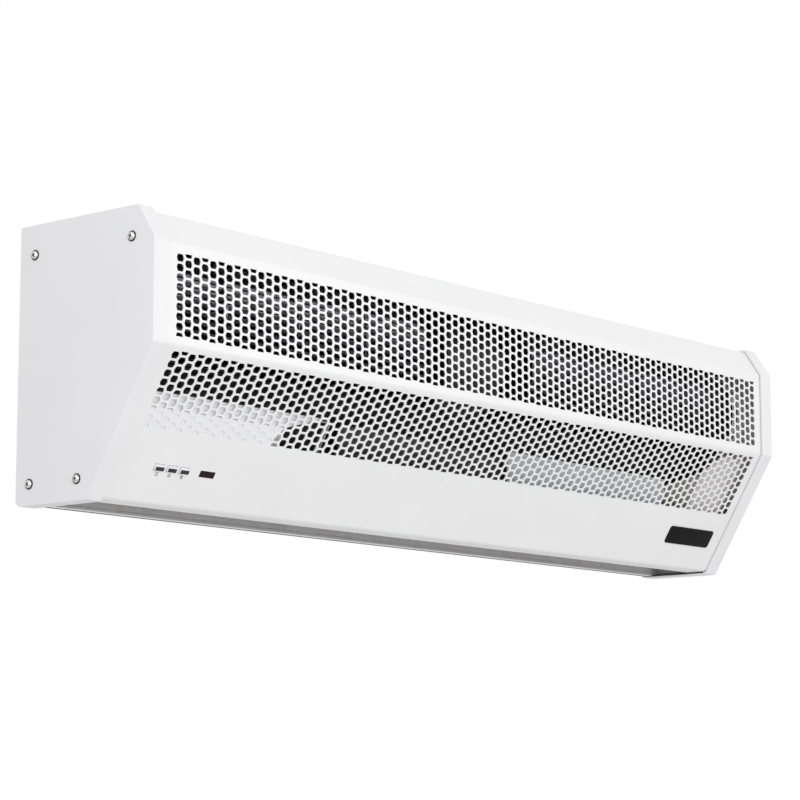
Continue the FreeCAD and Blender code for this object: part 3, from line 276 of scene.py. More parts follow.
# Patterns of the finishes: scales per metre, details, limits of the ramps and strengths of the relief
CLOUD_SCALE = 14.0
CLOUD_DETAIL = 3.0
CLOUD_LIMITS = (0.3, 0.7)
GRAIN_DETAIL = 2.0
GRAIN_STRENGTH = 0.35
MARK_DETAIL = 4.0
MARK_LIMITS = (0.35, 0.65)
MARK_STRENGTH = 0.4
FLAKE_METALLIC = 0.1
FLAKE_LIMITS = (0.1, 0.9)
FLAKE_GRAIN = 900.0
FLAKE_RELIEF = 0.00004
FLAKE_STRENGTH = 0.3


# Materials

def new_material(name, metallic=0.0, **sockets):
    """A material with its own shader, and the values that are the same all over it."""
    material = bpy.data.materials.new(name)
    material.use_nodes = True
    shader = material.node_tree.nodes["Principled BSDF"]
    shader.inputs["Metallic"].default_value = metallic
    for socket, value in sockets.items():
        shader.inputs[socket.replace("_", " ")].default_value = value
    return material


def add_node(material, kind):
    """A new node of a material."""
    return material.node_tree.nodes.new(kind)


def link(material, start, end):
    """Joins two sockets of a material."""
    material.node_tree.links.new(start, end)


def place_of(material, stretch=(1, 1, 1)):
    """The piece's own coordinates in metres, drawn out along its axes."""
    where = add_node(material, "ShaderNodeTexCoord")
    mapping = add_node(material, "ShaderNodeMapping")
    mapping.inputs["Scale"].default_value = stretch
    link(material, where.outputs["Object"], mapping.inputs["Vector"])
    return mapping.outputs["Vector"]


def shade(material, pattern, dark, light, low, high):
    """Colour between two tones, by a pattern."""
    ramp = add_node(material, "ShaderNodeValToRGB")
    ramp.color_ramp.elements[0].position = low
    ramp.color_ramp.elements[0].color = (*dark, 1)
    ramp.color_ramp.elements[1].position = high
    ramp.color_ramp.elements[1].color = (*light, 1)
    link(material, pattern, ramp.inputs["Fac"])
    shader = material.node_tree.nodes["Principled BSDF"]
    link(material, ramp.outputs["Color"], shader.inputs["Base Color"])


def gloss(material, pattern, low, high):
    """Roughness between two values, by a pattern."""
    spread = add_node(material, "ShaderNodeMapRange")
    spread.inputs["From Min"].default_value = CLOUD_LIMITS[0]
    spread.inputs["From Max"].default_value = CLOUD_LIMITS[1]
    spread.inputs["To Min"].default_value = low
    spread.inputs["To Max"].default_value = high
    link(material, pattern, spread.inputs["Value"])
    shader = material.node_tree.nodes["Principled BSDF"]
    link(material, spread.outputs["Result"], shader.inputs["Roughness"])


def relief(material, pattern, height, strength):
    """Fine relief of the surface, by a pattern."""
    bump = add_node(material, "ShaderNodeBump")
    bump.inputs["Strength"].default_value = strength
    bump.inputs["Distance"].default_value = height
    link(material, pattern, bump.inputs["Height"])
    shader = material.node_tree.nodes["Principled BSDF"]
    link(material, bump.outputs["Normal"], shader.inputs["Normal"])


def noise(material, where, scale, detail=CLOUD_DETAIL):
    """A cloudy pattern over the piece."""
    node = add_node(material, "ShaderNodeTexNoise")
    node.inputs["Scale"].default_value = scale
    node.inputs["Detail"].default_value = detail
    link(material, where, node.inputs["Vector"])
    return node.outputs["Fac"]


def coated(name, dark, light, rough, grain, height, **sockets):
    """Paint or moulded plastic: faint clouds of tone and gloss under a fine grain."""
    material = new_material(name, **sockets)
    where = place_of(material)
    clouds = noise(material, where, CLOUD_SCALE)
    shade(material, clouds, dark, light, *CLOUD_LIMITS)
    gloss(material, clouds, *rough)
    relief(material, noise(material, where, grain, GRAIN_DETAIL), height, GRAIN_STRENGTH)
    return material


def drawn(name, dark, light, rough, stretch, scale, height):
    """Bare metal with marks drawn along one way."""
    material = new_material(name, metallic=1.0)
    marks = noise(material, place_of(material, stretch), scale, MARK_DETAIL)
    shade(material, marks, dark, light, *MARK_LIMITS)
    gloss(material, marks, *rough)
    relief(material, marks, height, MARK_STRENGTH)
    return material


def spangled(name, dark, light, rough, scale):
    """Galvanised sheet: flakes of zinc, each with its own tone and gloss."""
    material = new_material(name, metallic=FLAKE_METALLIC)
    where = place_of(material)
    flakes = add_node(material, "ShaderNodeTexVoronoi")
    flakes.inputs["Scale"].default_value = scale
    link(material, where, flakes.inputs["Vector"])
    split = add_node(material, "ShaderNodeSeparateColor")
    link(material, flakes.outputs["Color"], split.inputs["Color"])
    shade(material, split.outputs["Red"], dark, light, *FLAKE_LIMITS)
    gloss(material, split.outputs["Green"], *rough)
    relief(material, noise(material, where, FLAKE_GRAIN, GRAIN_DETAIL), FLAKE_RELIEF, FLAKE_STRENGTH)
    return material


# Each finish: its two tones, its range of roughness, then its grain's scale and height or its marks
finishes = {
    "white_coat": coated(
        "white_coat", (0.815, 0.815, 0.82), (0.84, 0.84, 0.845), (0.34, 0.42), 900.0, 0.00005
    ),
    "cap_plastic": coated(
        "cap_plastic", (0.80, 0.80, 0.82), (0.825, 0.825, 0.845), (0.42, 0.5), 1500.0, 0.00004
    ),
    "screw_zinc": drawn(
        "screw_zinc", (0.72, 0.71, 0.70), (0.86, 0.86, 0.86), (0.25, 0.38), (1, 1, 1), 900.0, 0.00002
    ),
    # The zinc's grey is its own; its faint mauve tint is painted light, the cast of bounced light in the
    # outlet's shade
    "zinc_sheet": spangled("zinc_sheet", (0.80, 0.76, 0.765), (0.87, 0.83, 0.835), (0.45, 0.6), 130.0),
    "dark_coat": coated(
        "dark_coat", (0.007, 0.007, 0.008), (0.012, 0.012, 0.013), (0.45, 0.6), 700.0, 0.00008,
        Specular_IOR_Level=0.25,
    ),
    "motor_paint": coated(
        "motor_paint", (0.018, 0.018, 0.02), (0.032, 0.032, 0.034), (0.4, 0.55), 700.0, 0.00012
    ),
    "soft_rubber": coated(
        "soft_rubber", (0.012, 0.012, 0.012), (0.022, 0.022, 0.022), (0.6, 0.75), 1200.0, 0.00006
    ),
    "bearing_steel": drawn(
        "bearing_steel", (0.52, 0.52, 0.53), (0.72, 0.72, 0.73), (0.16, 0.28), (1, 30, 30), 40.0, 0.00002
    ),
    "blade_metal": drawn(
        "blade_metal", (0.075, 0.071, 0.082), (0.12, 0.113, 0.13), (0.22, 0.33), (1, 40, 40), 20.0, 0.00002
    ),
    "heater_steel": drawn(
        "heater_steel", (0.31, 0.30, 0.285), (0.46, 0.445, 0.425), (0.3, 0.45), (1, 25, 25), 30.0, 0.00003
    ),
    "box_coat": coated(
        "box_coat", (0.58, 0.595, 0.63), (0.62, 0.635, 0.67), (0.4, 0.5), 900.0, 0.00005
    ),
    "circuit_board": coated(
        "circuit_board", (0.012, 0.075, 0.03), (0.02, 0.11, 0.045), (0.25, 0.4), 400.0, 0.00008
    ),
    "black_plastic": coated(
        "black_plastic", (0.006, 0.006, 0.007), (0.011, 0.011, 0.012), (0.32, 0.45), 1100.0, 0.00005,
        Specular_IOR_Level=0.06,
    ),
    "window_plastic": coated(
        "window_plastic", (0.013, 0.006, 0.0065), (0.02, 0.009, 0.0095), (0.06, 0.1), 60.0, 0.00001,
        Specular_IOR_Level=0.14,
    ),
    "key_plastic": coated(
        "key_plastic", (0.055, 0.055, 0.058), (0.075, 0.075, 0.08), (0.42, 0.52), 1500.0, 0.00004
    ),
}

for node in nodes.values():
    for place in node.material_slots:
        place.material = finishes[place.material.name.split(".")[0]]


# Mesh helpers

def piece(name, mesh, slot, body, *stands_for):
    """A piece of the model, from mesh data in mm, on its body and with its finish."""
    mesh.transform(Matrix.Scale(MM, 4))
    data = bpy.data.meshes.new(name)
    mesh.to_mesh(data)
    mesh.free()
    item = bpy.data.objects.new(name, data)
    bpy.context.scene.collection.objects.link(item)
    data.materials.append(finishes[slot])
    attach(item, body)
    if stands_for:
        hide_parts(*stands_for)
    return item


def smooth(item, limit):
    """Smooth shading, with edges sharper than the limit in degrees kept crisp."""
    item.data.shade_smooth()
    item.data.set_sharp_from_angle(angle=math.radians(limit))


def loft(mesh, loops, closed=True):
    """Skins a row of loops of equal count, and caps its two ends."""
    rows = [[mesh.verts.new(point) for point in loop] for loop in loops]
    count = len(rows[0])
    for first, second in zip(rows, rows[1:]):
        for index in range(count):
            after = (index + 1) % count
            mesh.faces.new((first[index], first[after], second[after], second[index]))
    if closed:
        mesh.faces.new(rows[0])
        mesh.faces.new(rows[-1])


def tidy_normals(mesh):
    """Turns all faces outwards."""
    bmesh.ops.recalc_face_normals(mesh, faces=mesh.faces)


def fillet(before, corner, after, radius, steps):
    """Points of the arc that rounds a corner of a flat outline."""
    corner = Vector(corner)
    to_before = (Vector(before) - corner).normalized()
    to_after = (Vector(after) - corner).normalized()
    half = to_before.angle(to_after) / 2
    middle = corner + (to_before + to_after).normalized() * radius / math.sin(half)
    start = corner + to_before * radius / math.tan(half) - middle
    end = corner + to_after * radius / math.tan(half) - middle
    turn = start.angle_signed(end)
    points = []
    for step in range(steps + 1):
        angle = -turn * step / steps
        points.append(middle + Matrix.Rotation(angle, 2) @ start)
    return points


def rounded_outline(corners, radii, steps):
    """A closed outline with each of its corners rounded."""
    count = len(corners)
    points = []
    for index in range(count):
        points += fillet(
            corners[index - 1], corners[index], corners[(index + 1) % count], radii[index], steps
        )
    return points


def inset_corners(corners, inset):
    """Corners of an anticlockwise outline, moved inwards along with its sides."""
    count = len(corners)
    moved = []
    for index in range(count):
        corner = Vector(corners[index])
        along_in = (corner - Vector(corners[index - 1])).normalized()
        along_out = (Vector(corners[(index + 1) % count]) - corner).normalized()
        inward_in = Vector((-along_in.y, along_in.x))
        inward_out = Vector((-along_out.y, along_out.x))
        reach = inset / (1 + inward_in.dot(inward_out))
        moved.append(corner + (inward_in + inward_out) * reach)
    return moved


def rectangle(width, height, middle):
    """Corners of a flat rectangle, anticlockwise."""
    half = Vector((width / 2, height / 2))
    x, y = middle
    return [
        (x - half.x, y - half.y),
        (x + half.x, y - half.y),
        (x + half.x, y + half.y),
        (x - half.x, y + half.y),
    ]


def rounded_rectangle(width, height, radius, middle):
    """Outline of a flat rectangle with rounded corners."""
    corners = rectangle(width, height, middle)
    return rounded_outline(corners, [radius] * len(corners), RECTANGLE_STEPS)


def evaluated_mesh(item):
    """An item's mesh with its modifiers applied."""
    bpy.context.view_layer.update()
    graph = bpy.context.evaluated_depsgraph_get()
    return bpy.data.meshes.new_from_object(item.evaluated_get(graph))


def arc_points(middle, radius, start, end, steps):
    """Points along a circle between two angles in degrees."""
    angles = [math.radians(start + (end - start) * step / steps) for step in range(steps + 1)]
    return [(middle[0] + radius * math.cos(a), middle[1] + radius * math.sin(a)) for a in angles]


# The slanted face's directions, as (y, z)
slope_run = Vector((COVER_FOOT[0] - COVER_FOLD[0], COVER_FOOT[1] - COVER_FOLD[1]))
slope_down = slope_run.normalized()
slope_out = Vector((slope_down.y, -slope_down.x))


def on_slope(x, up, height=0.0):
    """A point by its place along X, its distance up the slope from the fold and its height above it."""
    spot = Vector(COVER_FOLD) - slope_down * up + slope_out * height
    return Vector((x, spot.x, spot.y))


def on_front(x, up):
    """A point of the upright front by its place along X and its height."""
    return Vector((x, COVER_FOLD[0], up))


# Front cover, with every hole of its perforation

def hole_outline(x, up):
    """A hexagonal hole with soft corners, its points to the left and right."""
    middle = Vector((x, up))
    point = Vector((HOLE_WIDTH / 2, 0))
    high = Vector((HOLE_FLAT / 2, HOLE_HEIGHT / 2))
    low = Vector((HOLE_FLAT / 2, -HOLE_HEIGHT / 2))
    corners = [middle + offset for offset in (point, high, -low, -point, -high, low)]
    points = []
    for index, corner in enumerate(corners):
        towards = (corners[index - 1] - corner).normalized() * HOLE_ROUND
        onwards = (corners[(index + 1) % len(corners)] - corner).normalized() * HOLE_ROUND
        softened = corner + (towards + onwards) * HOLE_CORNER_SHARE
        points += [corner + towards, softened, corner + onwards]
    return points


def perforation(top):
    """Outlines of a field of holes, with half holes along its upper and lower edges."""
    outlines = []
    first = -COLUMN_PITCH * (COLUMNS - 1) / 2
    bottom = top - ROW_PITCH * (FULL_ROWS + 0.5)
    for column in range(COLUMNS):
        x = first + COLUMN_PITCH * column
        lowered = column % 2
        for row in range(FULL_ROWS):
            outlines.append(hole_outline(x, top - ROW_PITCH * (row + 0.5 + lowered / 2)))
        edge, side = ((bottom, 1), (top, -1))[lowered]
        whole = hole_outline(x, edge)
        outlines.append([point for point in whole if (point.y - edge) * side > -CUT_SLACK])
    return outlines


def panel(mesh, low, high, outlines, spot):
    """A flat panel of the cover between two heights, with openings cut out of it."""
    loops = [rectangle(2 * COVER_HALF, high - low, (0, (low + high) / 2)), *outlines]
    points = []
    faces = []
    for loop in loops:
        faces.append(range(len(points), len(points) + len(loop)))
        points += [Vector(point) for point in loop]
    found, _, triangles, _, _, owners = delaunay_2d_cdt(points, [], faces, 0, CUT_SLACK)
    made = [mesh.verts.new(spot(*point)) for point in found]
    for triangle, owner in zip(triangles, owners):
        if list(owner) == [0]:
            mesh.faces.new([made[index] for index in triangle])


def strip(mesh, path):
    """A folded strip of the cover along its whole length."""
    rows = [
        [mesh.verts.new((side * COVER_HALF, point[0], point[1])) for side in (-1, 1)]
        for point in path
    ]
    for upper, lower in zip(rows, rows[1:]):
        face = mesh.faces.new((lower[0], lower[1], upper[1], upper[0]))
        face.smooth = True


def clearance_hole(width, height, gap, middle):
    """The cover's opening round a key or the window."""
    return rounded_rectangle(width + 2 * gap, height + 2 * gap, KEY_ROUND, middle)


def front_cover():
    """The folded cover: top flange, chamfer, two perforated faces, foot and lip."""
    mesh = bmesh.new()
    corners = (COVER_TOP_BACK, COVER_TOP, COVER_BROW, COVER_FOLD, COVER_FOOT, COVER_LIP)
    top_bend, brow_bend, fold_bend, foot_bend = [
        fillet(*corners[index:index + 3], radius, COVER_BEND_STEPS)
        for index, radius in enumerate(COVER_BENDS)
    ]
    strip(mesh, [Vector(COVER_TOP_BACK), top_bend[0]])
    strip(mesh, top_bend)
    strip(mesh, [top_bend[-1], brow_bend[0]])
    for bend in (brow_bend, fold_bend, foot_bend):
        strip(mesh, bend)
    strip(mesh, [foot_bend[-1], Vector(COVER_LIP)])
    panel(mesh, fold_bend[0].y, brow_bend[-1].y, perforation(UPPER_FIELD_TOP), on_front)
    openings = perforation(LOWER_FIELD_TOP)
    for place in KEY_PLACES:
        openings.append(clearance_hole(KEY_WIDTH, KEY_HEIGHT, KEY_GAP, (place, -KEY_SLOPE)))
    window = (WINDOW_PLACE, -WINDOW_SLOPE)
    openings.append(clearance_hole(WINDOW_WIDTH, WINDOW_HEIGHT, WINDOW_GAP, window))
    reach_top = (fold_bend[-1] - Vector(COVER_FOLD)).length
    reach_foot = (foot_bend[0] - Vector(COVER_FOLD)).length
    panel(mesh, -reach_foot, -reach_top, openings, on_slope)
    bmesh.ops.remove_doubles(mesh, verts=mesh.verts, dist=SHEET_MERGE)
    cover = piece("cover_sheet", mesh, "white_coat", "casing", "front_cover")
    sheet = cover.modifiers.new("sheet", "SOLIDIFY")
    sheet.thickness = COVER_SHEET * MM
    sheet.offset = -1
    sheet.use_even_offset = True
    made = evaluated_mesh(cover)
    cover.modifiers.clear()
    cover.data = made
    made.set_sharp_from_angle(angle=math.radians(COVER_CRISP))


# End caps

def cap_loop(inset, x):
    """An end cap's outline drawn in by an inset, at a place along X."""
    corners = inset_corners([corner[:2] for corner in CAP_CORNERS], inset)
    radii = [max(corner[2] - inset, CAP_CORNER_LEAST) for corner in CAP_CORNERS]
    outline = rounded_outline(corners, radii, CAP_CORNER_STEPS)
    return [Vector((x, point.x, point.y)) for point in outline]


def end_cap(name, side):
    """A moulded end cap: a shallow tray with a softened rim, its mouth towards the middle."""
    mesh = bmesh.new()
    loops = []
    for step in range(CAP_RIM_STEPS + 1):
        angle = math.pi / 2 * step / CAP_RIM_STEPS
        inset = CAP_RIM * (1 - math.sin(angle))
        depth = CAP_RIM * (1 - math.cos(angle))
        loops.append(cap_loop(inset, side * (CAP_END - depth)))
    loops.append(cap_loop(0.0, side * (CAP_MOUTH + CAP_LIP)))
    loops.append(cap_loop(CAP_LIP, side * CAP_MOUTH))
    loops.append(cap_loop(CAP_WALL - CAP_LIP, side * CAP_MOUTH))
    loops.append(cap_loop(CAP_WALL, side * (CAP_MOUTH + CAP_LIP)))
    loops.append(cap_loop(CAP_WALL, side * (CAP_END - CAP_WALL)))
    loft(mesh, loops)
    tidy_normals(mesh)
    cap = piece(name + "_moulding", mesh, "cap_plastic", "casing", name)
    smooth(cap, MOULDING_CRISP)


def cap_shade_bead(name, side):
    """A dark half-round bead along the foot of an end cap's mouth, painted as the shadow in the gap there.
    """
    mesh = bmesh.new()
    section = arc_points((CAP_MOUTH, BEAD_DROP), BEAD_RADIUS, *BEAD_ARC, BEAD_STEPS)
    loft(mesh, [[Vector((side * x, y, z)) for x, z in section] for y in BEAD_REACH])
    tidy_normals(mesh)
    shade_bead = piece(name, mesh, "soft_rubber", "casing")
    smooth(shade_bead, ROUND_CRISP)


# Screws

def ring_points(radius, height):
    """Points of a circle round Z."""
    angles = [2 * math.pi * step / SCREW_STEPS for step in range(SCREW_STEPS)]
    return [Vector((radius * math.cos(angle), radius * math.sin(angle), height)) for angle in angles]


def scratch_item(name, mesh):
    """An object for a cut, which is removed again afterwards."""
    item = bpy.data.objects.new(name, bpy.data.meshes.new(name))
    mesh.to_mesh(item.data)
    mesh.free()
    bpy.context.scene.collection.objects.link(item)
    return item


def screw_mesh():
    """A pan-head screw with a cross recess, its head up along Z and its seat at the origin."""
    profile = (
        *((across * HEAD_RADIUS, up * HEAD_RISE) for across, up in HEAD_SHARES),
        (HEAD_RADIUS, 0.0),
        (SHANK_RADIUS, 0.0),
        (SHANK_RADIUS, -SHANK_LENGTH),
    )
    mesh = bmesh.new()
    loft(mesh, [ring_points(*row) for row in profile])
    tidy_normals(mesh)
    body = scratch_item("screw_body", mesh)
    cutters = []
    for turn in range(2):
        mesh = bmesh.new()
        bmesh.ops.create_cube(mesh, size=1.0)
        mesh.transform(
            Matrix.Rotation(turn * math.pi / 2, 4, "Z")
            @ Matrix.Translation((0, 0, HEAD_RISE))
            @ Matrix.Diagonal((RECESS_SPAN, RECESS_WIDTH, 2 * RECESS_DEPTH, 1))
        )
        cutter = scratch_item("recess", mesh)
        difference = body.modifiers.new("recess", "BOOLEAN")
        difference.object = cutter
        difference.operation = "DIFFERENCE"
        cutters.append(cutter)
    made = evaluated_mesh(body)
    for item in (body, *cutters):
        bpy.data.objects.remove(item)
    return made


def screw_shade_mesh():
    """A dark ring round a screw's head and a dark block at the floor of its recess, painted as the shade
    at the head's edge and in the recess.
    """
    mesh = bmesh.new()
    shade_top = HEAD_RISE - RECESS_SHADE_DROP
    shade_foot = HEAD_RISE - RECESS_DEPTH
    shade_half = RECESS_SPAN / 2
    shade_ring = ((SHADE_RING_INNER, 0.0), (SHADE_RING_OUTER, 0.0), (SHADE_RING_OUTER, SHADE_RING_RISE), (SHADE_RING_INNER, SHADE_RING_RISE))
    loft(mesh, [ring_points(*row) for row in (*shade_ring, shade_ring[0])], closed=False)
    loft(mesh, [ring_points(shade_half, height) for height in (shade_foot, shade_top)])
    bmesh.ops.remove_doubles(mesh, verts=mesh.verts, dist=MERGE)
    tidy_normals(mesh)
    made = bpy.data.meshes.new("screw_shade")
    mesh.to_mesh(made)
    mesh.free()
    return made


def fasteners(name, shape, slot, places, *stands_for):
    """Copies of a shape as one piece, each at a place, along a direction, and turned about it."""
    mesh = bmesh.new()
    for spot, heading, turn, scale in places:
        start = len(mesh.verts)
        mesh.from_mesh(shape)
        mesh.verts.ensure_lookup_table()
        pose = (
            Matrix.Translation(spot)
            @ Vector(heading).to_track_quat("Z", "Y").to_matrix().to_4x4()
            @ Matrix.Rotation(turn, 4, "Z")
            @ Matrix.Scale(scale, 4)
        )
        bmesh.ops.transform(mesh, matrix=pose, verts=mesh.verts[start:])
    made = piece(name, mesh, slot, "casing", *stands_for)
    smooth(made, MOULDING_CRISP)


# Keys, signs and badge

def slope_loop(outline, height):
    """An outline laid on the slanted face, at a height above it."""
    return [on_slope(point[0], point[1], height) for point in outline]


def soft_block(size, corner, tightening, middle, foot, top, edge):
    """A block on the slanted face, with rounded corners and an edge that draws in towards its top."""
    mesh = bmesh.new()
    width, height = size
    loops = []
    for inset, level in ((0.0, foot), *((inset, top - drop) for inset, drop in edge)):
        radius = corner - tightening * inset
        outline = rounded_rectangle(width - 2 * inset, height - 2 * inset, radius, middle)
        loops.append(slope_loop(outline, level))
    loft(mesh, loops)
    tidy_normals(mesh)
    return mesh


def key_cap(name, place, body, node):
    """A moulded key: a pale body with softened edges."""
    size = (KEY_WIDTH, KEY_HEIGHT)
    middle = (place, -KEY_SLOPE)
    mesh = soft_block(size, KEY_ROUND, KEY_TIGHTENING, middle, -KEY_DEPTH, KEY_RISE, KEY_EDGE)
    cap = piece(name + "_cap", mesh, "cap_plastic", body, node)
    smooth(cap, ROUND_CRISP)


def key_insert(name, place, body):
    """The dark pad let into a key's face."""
    size = (INSERT_WIDTH, INSERT_HEIGHT)
    middle = (place, -KEY_SLOPE - INSERT_DROP)
    foot = KEY_RISE - INSERT_SINK
    top = KEY_RISE + INSERT_RISE
    mesh = soft_block(size, INSERT_ROUND, INSERT_TIGHTENING, middle, foot, top, INSERT_EDGE)
    pad = piece(name + "_pad", mesh, "soft_rubber", body)
    smooth(pad, ROUND_CRISP)


def badge():
    """The bare black plate on the slanted face."""
    size = (BADGE_WIDTH, BADGE_HEIGHT)
    middle = (BADGE_PLACE, -BADGE_SLOPE)
    mesh = soft_block(size, BADGE_ROUND, BADGE_TIGHTENING, middle, 0.0, BADGE_RISE, BADGE_EDGE)
    plate = piece("badge_plate", mesh, "black_plastic", "casing")
    smooth(plate, ROUND_CRISP)


def sign_stroke(mesh, points):
    """A printed line of even width on the slanted face, through points along X and up the slope."""
    left = []
    right = []
    for index, point in enumerate(points):
        before = Vector(points[max(index - 1, 0)])
        after = Vector(points[min(index + 1, len(points) - 1)])
        way = (after - before).normalized()
        aside = Vector((-way.y, way.x)) * SIGN_LINE / 2
        left.append(Vector(point) + aside)
        right.append(Vector(point) - aside)
    outline = left + right[::-1]
    loft(mesh, [slope_loop(outline, 0.0), slope_loop(outline, SIGN_RISE)])


def power_sign(mesh, middle):
    """An open ring with an upright bar."""
    x, y = middle
    sign_stroke(mesh, arc_points(middle, SIGN_SIZE / 2, *POWER_ARC, POWER_ARC_STEPS))
    sign_stroke(mesh, [(x, y + SIGN_GAP), (x, y + POWER_BAR * SIGN_SIZE)])


def fan_sign(mesh, middle):
    """Three curved petals round the middle."""
    reach = SIGN_SIZE * FAN_PETAL
    start, end = FAN_ARC
    for turn in FAN_TURNS:
        angle = math.radians(turn)
        petal = (middle[0] + reach * math.cos(angle), middle[1] + reach * math.sin(angle))
        sign_stroke(mesh, arc_points(petal, reach, turn + start, turn + end, FAN_ARC_STEPS))


def heat_sign(mesh, middle):
    """Three upright waves side by side."""
    x, y = middle
    for offset in HEAT_WAVES:
        start = x + offset * SIGN_SIZE
        wave = []
        for step in range(HEAT_STEPS + 1):
            share = step / HEAT_STEPS
            sway = HEAT_SWAY * SIGN_SIZE * math.sin(2 * math.pi * share)
            wave.append((start + sway, y + (share - 0.5) * SIGN_SIZE))
        sign_stroke(mesh, wave)


def signs():
    """The three signs printed under the keys."""
    mesh = bmesh.new()
    for draw, place in zip((power_sign, fan_sign, heat_sign), KEY_PLACES):
        draw(mesh, (place, -SIGN_SLOPE))
    tidy_normals(mesh)
    piece("key_signs", mesh, "key_plastic", "casing")


# Boxes and outlet

def slope_plate(name, corners, depth, slot, *stands_for):
    """A flat plate behind the slanted face, its corners given along X and down the slope."""
    mesh = bmesh.new()
    outline = [(x, -down) for x, down in corners]
    loft(mesh, [slope_loop(outline, -depth), slope_loop(outline, -depth - BOX_WALL)])
    tidy_normals(mesh)
    piece(name, mesh, slot, "casing", *stands_for)


def oblong(top, foot, start, end):
    """Corners of an upright oblong, along X and down the slope."""
    return ((start, top), (start, foot), (end, foot), (end, top))


def control_box():
    """The control box: its pale, bent lid with a skirt, its tab, and inside it a dark plate and a dark pad
    that paint its shade.
    """
    mesh = bmesh.new()
    far = [(down, inward + BOX_WALL, end) for down, inward, end in reversed(CONTROL_LID)]
    section = [*CONTROL_LID, *far]
    loops = [
        [on_slope(-BOX_END, -down, -inward) for down, inward, end in section],
        [on_slope(end, -down, -inward) for down, inward, end in section],
    ]
    loft(mesh, loops)
    foot, flat, end = CONTROL_LID[-1]
    skirt = [(x, -down) for x, down in oblong(foot - BOX_WALL, foot, -BOX_END, end)]
    loft(mesh, [slope_loop(skirt, -depth) for depth in (flat + BOX_WALL / 2, CONTROL_SKIRT_DEPTH)])
    tidy_normals(mesh)
    piece("control_lid", mesh, "cap_plastic", "casing", "control_box_lid")
    slope_plate("control_tab", oblong(*CONTROL_TAB), CONTROL_TAB_DEPTH, "cap_plastic")
    # Dark plate behind the lid, painted as the shade inside the box
    painted_shade_plate = oblong(CONTROL_BOX_TOP, foot, -BOX_END, CONTROL_BOX_END)
    slope_plate("control_painted_shade", painted_shade_plate, CONTROL_SHADE_DEPTH, "dark_coat")
    # Dark pad on the box's top, painted as the shade there
    mesh = bmesh.new()
    pad = oblong(CONTROL_BOX_TOP - CONTROL_SHADE_PAD, CONTROL_BOX_TOP, -BOX_END, CONTROL_BOX_END)
    outline = [(x, -down) for x, down in pad]
    loft(mesh, [slope_loop(outline, -depth) for depth in CONTROL_SHADE_PAD_DEPTHS])
    tidy_normals(mesh)
    piece("control_pad", mesh, "soft_rubber", "casing")


def terminal_box():
    """The terminal box: its tray, flat lid and bare plates, and the cable cover to its left."""
    slope_plate("terminal_lid", TERMINAL_LID, TERMINAL_LID_DEPTH, "box_coat", "terminal_box_lid")
    slope_plate("terminal_plate", TERMINAL_PLATE, TERMINAL_PLATE_DEPTH, "heater_steel", "terminal_box_lid")
    slope_plate("terminal_end", TERMINAL_END, TERMINAL_END_DEPTH, "zinc_sheet", "terminal_box_lid")
    slope_plate("cable_cover", CABLE_COVER, CABLE_COVER_DEPTH, "key_plastic")
    start, top, end, foot = TERMINAL_TRAY
    corners = [(start, -foot), (end, -foot), (end, -top), (start, -top)]
    inner = inset_corners(corners, BOX_WALL)
    rim, floor_depth = TERMINAL_TRAY_DEPTHS
    mesh = bmesh.new()
    loft(
        mesh,
        [
            slope_loop(inner, BOX_WALL - floor_depth),
            slope_loop(inner, -rim),
            slope_loop(corners, -rim),
            slope_loop(corners, -floor_depth),
        ],
    )
    tidy_normals(mesh)
    piece("terminal_tray", mesh, "box_coat", "casing", "terminal_box")


def long_sheet(name, section, slot, *stands_for):
    """A sheet of even section, as (y, z), along the whole inside."""
    mesh = bmesh.new()
    loft(mesh, [[Vector((side * BOX_END, *point)) for point in section] for side in (-1, 1)])
    tidy_normals(mesh)
    sheet = piece(name, mesh, slot, "casing", *stands_for)
    smooth(sheet, SHEET_CRISP)


def outlet():
    """The slot's rear wall, the scroll above it, the trim on the bottom flange, and the dark strip behind
    the trim painted as the shade along the flange's rear edge.
    """
    wall = [
        (WALL_FACE, WALL_FOOT),
        (WALL_FACE, WALL_HEAD),
        (WALL_BACK, WALL_HEAD),
        (WALL_BACK, WALL_FOOT),
    ]
    long_sheet("outlet_wall", wall, "zinc_sheet", "rear_scroll")
    middle = Vector(SCROLL_CENTRE)
    turn = math.degrees(math.acos((SCROLL_FRONT - middle.x) / SCROLL_INNER))
    inside = arc_points(middle, SCROLL_INNER, 0, turn, SCROLL_STEPS)
    outside = arc_points(middle, SCROLL_INNER + SCROLL_SHEET, 0, turn, SCROLL_STEPS)
    flange = [(inside[-1][0], SCROLL_TOP), (inside[-1][0] + SCROLL_SHEET, SCROLL_TOP)]
    long_sheet("outlet_scroll", inside + flange + outside[::-1], "dark_coat", "rear_scroll")
    for name, front, back, slot in (
        ("outlet_trim", TRIM_FRONT, TRIM_BACK, "white_coat"),
        # The dark strip is painted shade along the flange's rear edge
        ("outlet_painted_shade", TRIM_BACK, TRIM_REAR, "dark_coat"),
    ):
        foot = TRIM_TOP - TRIM_SHEET
        long_sheet(name, [(front, TRIM_TOP), (back, TRIM_TOP), (back, foot), (front, foot)], slot)


# Impellers

def round_axis(radius, angle):
    """A point round the fan's axis, as (y, z)."""
    return (FAN_DEPTH + radius * math.cos(angle), FAN_RISE + radius * math.sin(angle))


def disc(mesh, x, inner, outer, wall):
    """A flat ring round the fan's axis."""
    angles = [2 * math.pi * step / ROUND_STEPS for step in range(ROUND_STEPS)]
    rows = []
    for side, radius in ((-1, inner), (-1, outer), (1, outer), (1, inner)):
        face = x + side * wall / 2
        rows.append([Vector((face, *round_axis(radius, angle))) for angle in angles])
    loft(mesh, [*rows, rows[0]], closed=False)


